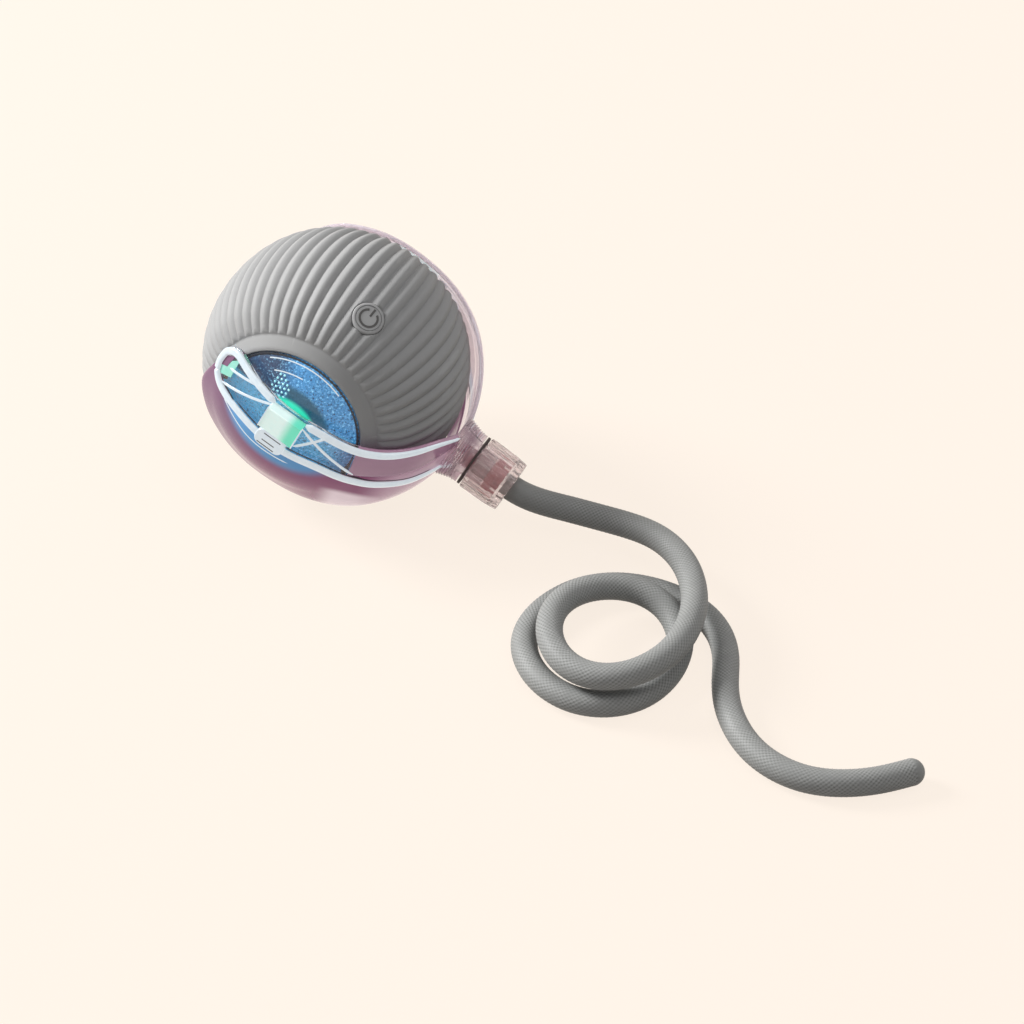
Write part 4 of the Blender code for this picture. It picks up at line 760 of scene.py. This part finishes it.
arm = {
    "wall": 1.1 * mm, "inside": 30.93 * mm, "rise": 1.7 * mm, "riseDeg": (40.0, 64.0), "flare": 1.8 * mm,
    "topDeg": ((-41.5, 13.0), (-37.0, 16.2), (-29.0, 17.0), (-17.7, 16.8), (0.0, 16.2), (16.0, 15.8),
               (29.0, 14.0), (44.0, 13.4), (60.0, 16.2), (74.0, 15.6), (84.0, 12.0)),
    "lowDeg": ((-42.0, -36.0), (-22.0, -48.0), (0.0, -52.0), (20.0, -52.0), (40.0, -47.0), (58.0, -36.0),
               (70.0, -23.0), (78.0, -12.0), (84.0, -6.0)),
    "tipDeg": ((-41.5, 13.0), (-42.8, 8.0), (-43.2, 2.0), (-45.5, -8.0), (-48.5, -20.0), (-42.0, -36.0)),
    "rootDeg": ((84.0, 12.0), (84.0, -6.0)),
    "rows": 120, "edgeRows": ((0.0, 0.45), (0.004, 0.8), (0.012, 0.97)), "skirtAt": 0.302, "bandTo": 0.30,
    "veilFrom": 0.6, "railHeight": 0.9 * mm, "railWidth": 0.92 * mm, "ridgeSunk": 0.25 * mm,
    "topRail": ((1.0, 0.05), (0.9, 0.034), (0.8, 0.030), (0.7, 0.036), (0.6, 0.033), (0.4, 0.028),
                (0.2, 0.026), (0.1, 0.030), (0.055, 0.040), (0.028, 0.070), (0.021, 0.13), (0.024, 0.21),
                (0.040, 0.29)),
    "midRail": ((0.036, 0.28), (0.077, 0.33), (0.13, 0.322), (0.19, 0.303), (0.30, 0.300), (0.42, 0.296),
                (0.50, 0.288), (0.56, 0.305), (0.62, 0.335), (0.68, 0.37), (0.73, 0.385), (0.79, 0.417),
                (0.88, 0.495), (0.95, 0.61), (1.0, 0.74)),
    "railGapDeg": (-6.8, 8.4), "railThin": ((0.72, 0.96), (1.0, 0.45)),
    "braces": (((-34.0, 7.0), (-17.0, 14.8)), ((-34.0, -2.0), (-7.5, 13.0)), ((8.5, 11.5), (37.5, -2.5)),
               ((9.0, 1.0), (20.0, 13.5))),
    "braceWidth": 0.32 * mm,
    "sheetStrokes": (((-34.0, -2.0), (-30.0, -1.5), (-25.7, -1.9), (-21.2, -4.3)),
              ((-30.0, -6.5), (-20.0, -9.6), (-10.0, -12.0), (0.0, -12.2), (11.0, -11.2))),
    "tipPanel": ((-39.9, 2.6), (-39.4, 8.8), (-35.4, 12.8), (-35.8, 5.8)),
    "tipGlow": ((-39.9, -2.3), (-39.9, 4.2), (-32.4, 14.0), (-30.9, 4.4)),
    "hub": ((-4.6, 1.0), (4.8, 7.9)), "hubTop": 33.4 * mm, "hubFoot": (31.0 * mm, 30.3 * mm),
    "hubBore": 3.0 * mm, "hubEdge": 0.14 * mm,
    "clip": ((-4.1, -4.3), (3.7, 0.8)), "clipTop": 33.15 * mm, "clipFoot": 31.9 * mm, "clipRound": 1.9 * mm,
    "slots": ((-2.3, -0.1, 2.4), (-2.1, -2.2, 1.4), (-2.9, -3.6, 1.8)), "slotHalf": 0.14,
}

edgeSteps = 400
edges = {side: smoothCurve(arm[side + "Deg"], edgeSteps + 1) for side in ("top", "low", "tip", "root")}


def readEdge(side, share):
    at, steps = np.asarray(share, dtype=float) * edgeSteps, np.arange(edgeSteps + 1)
    return np.stack([np.interp(at, steps, edges[side][:, axis]) for axis in (0, 1)], axis=-1)


def armAngles(u, v):
    # the sheet's angles, blended between its four edges: u from tip to root, v from top to low edge
    u, v = np.broadcast_arrays(np.asarray(u, dtype=float), np.asarray(v, dtype=float))
    u1, v1 = u[..., None], v[..., None]
    blend = (1 - v1) * readEdge("top", u) + v1 * readEdge("low", u)
    blend = blend + (1 - u1) * readEdge("tip", v) + u1 * readEdge("root", v)
    corners = (1 - u1) * ((1 - v1) * edges["top"][0] + v1 * edges["low"][0])
    corners = corners + u1 * ((1 - v1) * edges["top"][-1] + v1 * edges["low"][-1])
    return np.radians(blend - corners)


def armInside(angles):
    along, across = angles[..., 0], angles[..., 1]
    polarDeg = np.degrees(np.arccos(np.cos(along) * np.cos(across)))
    low, high = arm["riseDeg"]
    share = np.clip((polarDeg - low) / (high - low), 0, 1)
    share = share * share * (3 - 2 * share)
    return arm["inside"] + arm["rise"] * share + arm["flare"] * np.clip(np.sin(along), 0, None) ** 2


def armDirection(angles):
    along, across = angles[..., 0], angles[..., 1]
    level = np.cos(across)
    return np.stack([level * np.sin(along), np.sin(across), level * np.cos(along)], axis=-1)


def skirtFinish():
    # mauve, with painted light: blue where the lit window is near, a painted reflection low on the right,
    # paler towards the collar end, darker and more lilac towards the tip end, and a faint glow in its own
    # colours
    material, tree, shader = newMaterial("mauveSkirt")
    place = ownPlace(tree)
    split = addNode(tree, "SeparateXYZ", {"Vector": place}).outputs
    x, y = split["X"], split["Y"]
    # the blue glow fills an oval round the axle
    oval = addNode(tree, "VectorMath", {0: place, 1: (1 / (15.5 * mm), 1 / (9.8 * mm), 0)},
                   operation="MULTIPLY")
    around = addNode(tree, "VectorMath", {0: oval.outputs[0]}, operation="LENGTH").outputs["Value"]
    change = placeGroup(tree, drift, {"Colour": (0.235, 0.06, 0.12), "Other": (0.18, 0.065, 0.15),
                                      "Scale": 45.0, "Rough low": 0.1, "Rough high": 0.18})
    # a painted reflection: a pale patch low on the collar side
    paintedReflection = bothMasks(tree, mask(tree, x, 14 * mm, 19 * mm), mask(tree, y, -9 * mm, -12 * mm))
    colour = layered(tree, change["Colour"], (
        # darker and more lilac towards the tip end: partly the plastic's own tone, partly painted shade that
        # holds back the lamp's light on that side
        ((0.145, 0.07, 0.125), mask(tree, x, 2 * mm, -14 * mm)),
        ((0.68, 0.56, 0.60), paintedReflection),
        ((0.46, 0.30, 0.37), mask(tree, x, 22 * mm, 30 * mm)),
        ((0.09, 0.25, 0.46), mask(tree, around, 1.15, 0.8)),
    ))
    # the skirt glows a little in its own colours: painted light
    give(tree, shader, {"Base Color": colour, "Emission Color": colour, "Roughness": change["Roughness"],
                        "Emission Strength": 0.4, "Transmission Weight": 0.1, "IOR": 1.47,
                        "Specular IOR Level": 0.12, "Coat Weight": 0.1, "Coat Roughness": 0.05})
    return material


def armPiece(name, points, faces, material, place, sharpDeg=40):
    return newPiece(name, points, faces, material, "harness", place, "clear_plastic", sharpDeg)


def sheetPiece(name, vRange, uRange, columns, material, place):
    # a closed stretch of the sheet between two shares of its length and breadth, with rounded edges
    rows = np.concatenate([[share for share, _ in arm["edgeRows"]], np.linspace(0.02, 1.0, arm["rows"])])
    rows = uRange[0] + rows * (uRange[1] - uRange[0])
    breadth = np.linspace(*vRange, columns)
    rim = np.ones(columns)
    rim[[0, -1]], rim[[1, -2]] = 0.4, 0.85
    points = []
    for row, u in enumerate(rows):
        angles = armAngles(np.full(columns, u), breadth)
        middle, direction = armInside(angles) + arm["wall"] / 2, armDirection(angles)
        wall = arm["wall"]
        if row < len(arm["edgeRows"]) and u < 0.02:
            wall *= arm["edgeRows"][row][1]
        outside = direction * (middle + wall * rim / 2)[:, None]
        underside = direction * (middle - wall * rim / 2)[:, None]
        points += list(outside) + list(underside[::-1])
    return armPiece(name, points, ringed(len(rows), 2 * columns), material, place, 60)


def ridge(name, line, width, height, material, place, sides=12, thin=None):
    # a rounded ridge along a line of sheet angles, standing on the sheet's outside
    inner, direction, sunk = armInside(line), armDirection(line), arm["ridgeSunk"]
    spine = direction * (inner + arm["wall"])[:, None]
    ahead = np.gradient(spine, axis=0)
    ahead /= np.linalg.norm(ahead, axis=1)[:, None]
    across = np.cross(direction, ahead)
    count = len(line)
    turns = np.arange(sides) * math.tau / sides
    wide = np.sign(np.cos(turns)) * np.abs(np.cos(turns)) ** 0.6 * width
    tall = np.sign(np.sin(turns)) * np.abs(np.sin(turns)) ** 0.7 * (height + sunk) / 2
    points = []
    for k in range(count):
        size = min(1.0, 0.35 + 0.65 * min(k, count - 1 - k) / 3) * (1.0 if thin is None else thin[k])
        middle = spine[k] + direction[k] * ((height - sunk) / 2)
        points += list(middle + np.outer(wide * size, across[k]) + np.outer(tall * size, direction[k]))
    armPiece(name, points, ringed(count, sides), material, place, 50)


def angleLine(pairs, count):
    return np.radians(smoothCurve(pairs, count)) if len(pairs) > 2 else np.radians(np.linspace(*pairs, count))


def patch(name, corners, material, place, thick):
    # a thin plate on the sheet between four corners given as sheet angles
    steps = 10
    share = np.linspace(0.0, 1.0, steps)
    a, b, c, d = (np.radians(np.array(corner)) for corner in corners)
    points = []
    for lift in (arm["wall"] - 0.1 * mm, arm["wall"] + thick):
        for s in share:
            first, second = a + (b - a) * s, d + (c - d) * s
            angles = np.array([first + (second - first) * t for t in share])
            points += list(armDirection(angles) * (armInside(angles) + lift)[:, None])
    size = steps * steps
    faces = []
    for row in range(steps - 1):
        for k in range(row * steps, row * steps + steps - 1):
            under = (k, k + 1, k + steps + 1, k + steps)
            faces += [under, tuple(size + corner for corner in under)]
    border = [*range(steps)] + [k * steps + steps - 1 for k in range(1, steps)]
    border += [size - 2 - k for k in range(steps - 1)] + [k * steps for k in range(steps - 2, 0, -1)]
    faces += [(k, after, size + after, size + k) for k, after in zip(border, border[1:] + border[:1])]
    armPiece(name, points, faces, material, place, 50)


def makeArm(side, place, skirt):
    rail, rim = finishes["rail"], finishes["rim"]
    bandTo, veilFrom = arm["bandTo"], arm["veilFrom"]
    sheet = sheetPiece(f"{side}_band", (0.0, bandTo), (0.0, veilFrom), 26, finishes["clear"], place)
    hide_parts(f"{side}_arm")
    sheetPiece(f"{side}_veil", (0.0, bandTo), (veilFrom + 0.001, 1.0), 26, finishes["veil"], place)
    sheetPiece(f"{side}_skirt", (arm["skirtAt"], 1.0), (0.0, 1.0), 44, skirt, place)
    # the rails grow thin towards the collar, and the top one stops on both sides of the hub
    for name in ("top", "mid"):
        path = smoothCurve(arm[name + "Rail"], 220)
        line, thin = armAngles(path[:, 0], path[:, 1]), np.interp(path[:, 0], *arm["railThin"])
        parts = [np.full(len(line), True)]
        if name == "top":
            low, high = np.radians(arm["railGapDeg"])
            parts = [line[:, 0] > high, line[:, 0] < low]
        for number, part in enumerate(parts):
            ridge(f"{side}_{name}_rail_{number + 1}", line[part], arm["railWidth"], arm["railHeight"], rail,
                  place, thin=thin[part])
    # a painted shadow: a dark line along the upper side of the middle rail, where its groove is shaded
    path = smoothCurve(arm["midRail"], 150)[20:-30]
    ridge(f"{side}_rail_shadow_line", armAngles(path[:, 0], path[:, 1] - 0.038), 0.16 * mm, 0.1 * mm, rim, place, 8)
    for number, ends in enumerate(arm["braces"]):
        ridge(f"{side}_brace_{number + 1}", angleLine(ends, 30), arm["braceWidth"], 0.35 * mm, rail, place, 8)
    # two thin strokes on the sheet: the dark first one is a painted groove shadow, the second is white
    for number, (line, finish) in enumerate(zip(arm["sheetStrokes"], (rim, rail))):
        ridge(f"{side}_stroke_{number + 1}", angleLine(line, 60), 0.18 * mm, 0.12 * mm, finish, place, 8)
    patch(f"{side}_tip_glow", arm["tipGlow"], finishes["mint"], place, 0.08 * mm)
    patch(f"{side}_tip_panel", arm["tipPanel"], skirt, place, 0.16 * mm)
    makeHub(side, place)
    makeClip(side, place)


def makeHub(side, place):
    (left, low), (right, high) = np.array(arm["hub"]) * mm
    top, edge, bore = arm["hubTop"], arm["hubEdge"], arm["hubBore"]
    corners, faces = block((left, low, arm["hubFoot"][0]), (right, high, top))
    corners[2:4] = [(x, y, arm["hubFoot"][1]) for x, y, _ in corners[2:4]]  # the foot follows the sheet down
    hub = armPiece(f"{side}_hub", corners, faces, finishes["hub"], place)
    hole = turned([(0, 30 * mm), (bore, 30 * mm), (bore, 33.0 * mm), (0, 33.0 * mm)], 40)
    cut(hub, newPiece("cutter", *hole, finishes["hub"], "harness", place))
    rounded(hub, 0.2 * mm)
    for number, x in enumerate((left, right)):
        line = block((x - edge, low, 32.4 * mm), (x + edge, high, top + 0.1 * mm))
        rounded(armPiece(f"{side}_hub_edge_{number + 1}", *line, finishes["rail"], place), 0.06 * mm)


def makeClip(side, place):
    (left, low), (right, high) = np.array(arm["clip"]) * mm
    top, bend, half = arm["clipTop"], arm["clipRound"], arm["slotHalf"]
    outline = []
    for turn, (x, y) in enumerate(((right - bend, high - bend), (left + bend, high - bend),
                                   (left + bend, low + bend), (right - bend, low + bend))):
        for k in range(7):
            angle = math.pi / 2 * (turn + k / 6)
            outline.append((x + bend * math.cos(angle), y + bend * math.sin(angle)))
    points = [(x, y, z) for z in (arm["clipFoot"], top) for x, y in outline]
    rounded(armPiece(f"{side}_clip", points, ringed(2, len(outline)), finishes["rail"], place), 0.25 * mm)
    for number, (start, level, end) in enumerate(arm["slots"]):
        bar = block((start * mm, (level - half) * mm, top - 0.2 * mm),
                    (end * mm, (level + half) * mm, top + 0.03 * mm))
        armPiece(f"{side}_slot_{number + 1}", *bar, finishes["rim"], place)


makeArm("front", armPlace, skirtFinish())
# the back skirt's pale finish is a painted highlight
makeArm("back", backArmPlace, finishes["pale"])
print("arms clear")


# the split collar and the nut; the plug and the near black washer between them, a painted shadow line at the
# gap, are finished further down

collar = {"start": 33.9 * mm, "face": 39.85 * mm, "flare": 7.95 * mm, "flareEnd": 38.1 * mm,
          "radius": 6.65 * mm, "spigot": 4.6 * mm, "spigotEnd": 45.0 * mm, "bore": 2.9 * mm,
          "floor": 36.7 * mm, "eye": 0.4 * mm, "firstRing": 34.4 * mm, "ringPitch": 0.62 * mm, "rings": 8,
          "ringSize": 0.2 * mm, "split": 0.15 * mm}
nut = {"start": 41.1 * mm, "end": 51.5 * mm, "radius": 6.9 * mm, "endRadius": 6.45 * mm, "bore": 5.95 * mm,
       "lip": 4.95 * mm, "exit": 3.5 * mm, "wall": 1.9 * mm, "flutes": 24, "fluteDepth": 0.28 * mm}


def halfTurned(profile, sides, gap):
    # half of a turned shape on the -X side, closed along its flat faces
    points = []
    for k in range(sides + 1):
        angle = math.pi / 2 + math.pi * k / sides
        for radius, height in profile:
            x = radius * math.cos(angle)
            points.append((min(x, -gap) if radius > gap else -gap, radius * math.sin(angle), height))
    return points, ringed(sides + 1, len(profile))


def makeCollars():
    names = ("start", "face", "flare", "spigot", "bore", "ringSize")
    start, face, flare, spigot, bore, half = (collar[name] for name in names)
    outside = [(flare, start)]
    for number in range(collar["rings"]):
        middle = collar["firstRing"] + number * collar["ringPitch"]
        radius = float(np.interp(middle, (start, collar["flareEnd"]), (flare, collar["radius"])))
        outside += [(radius, middle - half), (radius + half, middle - half * 0.4),
                    (radius + half, middle + half * 0.4), (radius, middle + half)]
    outside += [(collar["radius"], face), (spigot, face), (spigot, collar["spigotEnd"]),
                (bore, collar["spigotEnd"]), (bore, collar["floor"]), (collar["eye"], collar["floor"]),
                (collar["eye"], start)]
    for side, place in (("front", tailPlace), ("back", backCollarPlace)):
        mesh = halfTurned(outside, 36, collar["split"])
        armPiece(f"{side}_collar", *mesh, finishes["collar"], place, 35)


def makeNut():
    names = ("start", "end", "radius", "endRadius", "bore")
    start, end, radius, tip, bore = (nut[name] for name in names)
    seat = end - nut["wall"]
    # height, radius and share of the flutes' depth, from the joint round to the inside
    rows = [(start, radius - 0.25 * mm, 0.4), (start + 0.3 * mm, radius, 1.0), (start + 3 * mm, radius, 1.0),
            (end - 3 * mm, radius - 0.1 * mm, 1.0), (end - 0.5 * mm, tip + 0.1 * mm, 1.0),
            (end - 0.12 * mm, tip, 0.8), (end, tip - 0.35 * mm, 0.2), (end, nut["exit"], 0.0),
            (seat, nut["exit"], 0.0), (seat, bore - 0.6 * mm, 0.0), (seat - 0.6 * mm, bore, 0.0),
            (start + 1.2 * mm, bore, 0.0), (start + 1.2 * mm, nut["lip"], 0.0), (start, nut["lip"], 0.0)]
    columns = nut["flutes"] * 6
    turns = np.arange(columns) * math.tau / columns
    flute = (np.clip(np.cos(turns * nut["flutes"]) * 1.6, -1, 1) * 0.5 - 0.5) * nut["fluteDepth"]
    points = []
    for height, r, share in rows:
        r = r + flute * share
        points += ringAt(turns, r, height)
    piece = newPiece("fluted_nut", points, ringed(len(rows), columns, joined=True), finishes["nut"], "nut",
                     tailPlace, "clear_plastic", 35)
    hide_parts("lock_nut")


makeCollars()
makeNut()
print("collar and nut fitted")


# finishes of the model's own pieces

nodeFinish = {
    "front_shell": "shell", "back_shell": "shell", "axle": "steel", "axle_clip": "steel",
    "chassis_plate": "black", "motor": "steel", "battery": "cell", "battery_strap": "black",
    "front_lamp_board": "board", "back_lamp_board": "board", "charge_socket": "steel",
    "power_switch": "black", "switch_board": "board", "swing_bush": "brass", "drive_gear": "gear",
    "swing_arm": "black", "swing_weight": "steel", "weight_screw_1": "steel", "weight_screw_2": "steel",
    "motor_pinion": "brass", "motor_shaft": "steel", "front_hub_bush": "brass", "back_hub_bush": "brass",
    # the washer is dark as a painted shadow line at the gap
    "nut_washer": "joint", "tail_plug": "plug",
}
nodeFinish.update({f"{side}_led_{number}": "lamp" for side in ("front", "back") for number in (1, 2, 3)})
for name, finish in nodeFinish.items():
    frame["nodes"][name].data.materials.clear()
    frame["nodes"][name].data.materials.append(finishes[finish])
print("inner pieces finished")


# floor, backdrop and lights

studio = {"cream": (0.991, 0.893, 0.799), "bounce": (0.43, 0.41, 0.39), "plain": 0.92, "world": 0.32,
          "sky": (0.95, 0.96, 1.0), "floorSize": 6.0,
          "lamps": {"key": ((-0.92, -0.10, 0.60), 0.45, 21.0), "rim": ((0.55, 0.9, 0.8), 0.6, 2.0),
                    "top": ((0.3, -0.1, 1.2), 0.9, 3.6)}}


def emptyTree(owner):
    owner.use_nodes = True
    owner.node_tree.nodes.clear()
    return owner.node_tree


def seenDirectly(tree):
    # 1 where the camera, a mirror or clear plastic looks at the background
    path = addNode(tree, "LightPath").outputs
    seen = calculate(tree, "MAXIMUM", path["Is Camera Ray"], path["Is Glossy Ray"])
    return calculate(tree, "MAXIMUM", seen, path["Is Transmission Ray"])


def makeFloor():
    material = bpy.data.materials.new("creamFloor")
    tree = emptyTree(material)
    direct = seenDirectly(tree)
    tint = mixColours(tree, direct, studio["bounce"], studio["cream"])
    diffuse = addNode(tree, "BsdfDiffuse", {"Color": tint})
    plain = addNode(tree, "Emission", {"Color": studio["cream"]})
    part = calculate(tree, "MULTIPLY", direct, studio["plain"])
    mix = addNode(tree, "MixShader", {0: part, 1: diffuse.outputs[0], 2: plain.outputs[0]})
    addNode(tree, "OutputMaterial", {"Surface": mix.outputs[0]})
    half = studio["floorSize"] / 2
    mesh = bpy.data.meshes.new("floor")
    corners = [(-half, -half, 0), (half, -half, 0), (half, half, 0), (-half, half, 0)]
    mesh.from_pydata(corners, [], [(0, 1, 2, 3)])
    mesh.materials.append(material)
    addObject("floor", mesh)


def makeLight():
    world = bpy.data.worlds.new("studio")
    bpy.context.scene.world = world
    tree = emptyTree(world)
    direct = addNode(tree, "Background", {"Color": studio["cream"]})
    soft = addNode(tree, "Background", {"Color": studio["sky"], "Strength": studio["world"]})
    mix = addNode(tree, "MixShader", {0: seenDirectly(tree), 1: soft.outputs[0], 2: direct.outputs[0]})
    addNode(tree, "OutputWorld", {"Surface": mix.outputs[0]})
    for name, (place, size, power) in studio["lamps"].items():
        data = bpy.data.lights.new(name, "AREA")
        data.shape = "DISK"
        data.size = size
        data.energy = power
        lamp = addObject(name, data)
        lamp.location = ballMiddle + Vector(place)
        lamp.rotation_euler = (-Vector(place)).to_track_quat("-Z", "Y").to_euler()


makeFloor()
makeLight()
bpy.context.scene.view_settings.view_transform = "Standard"
print("studio lit")

bpy.context.view_layer.update()
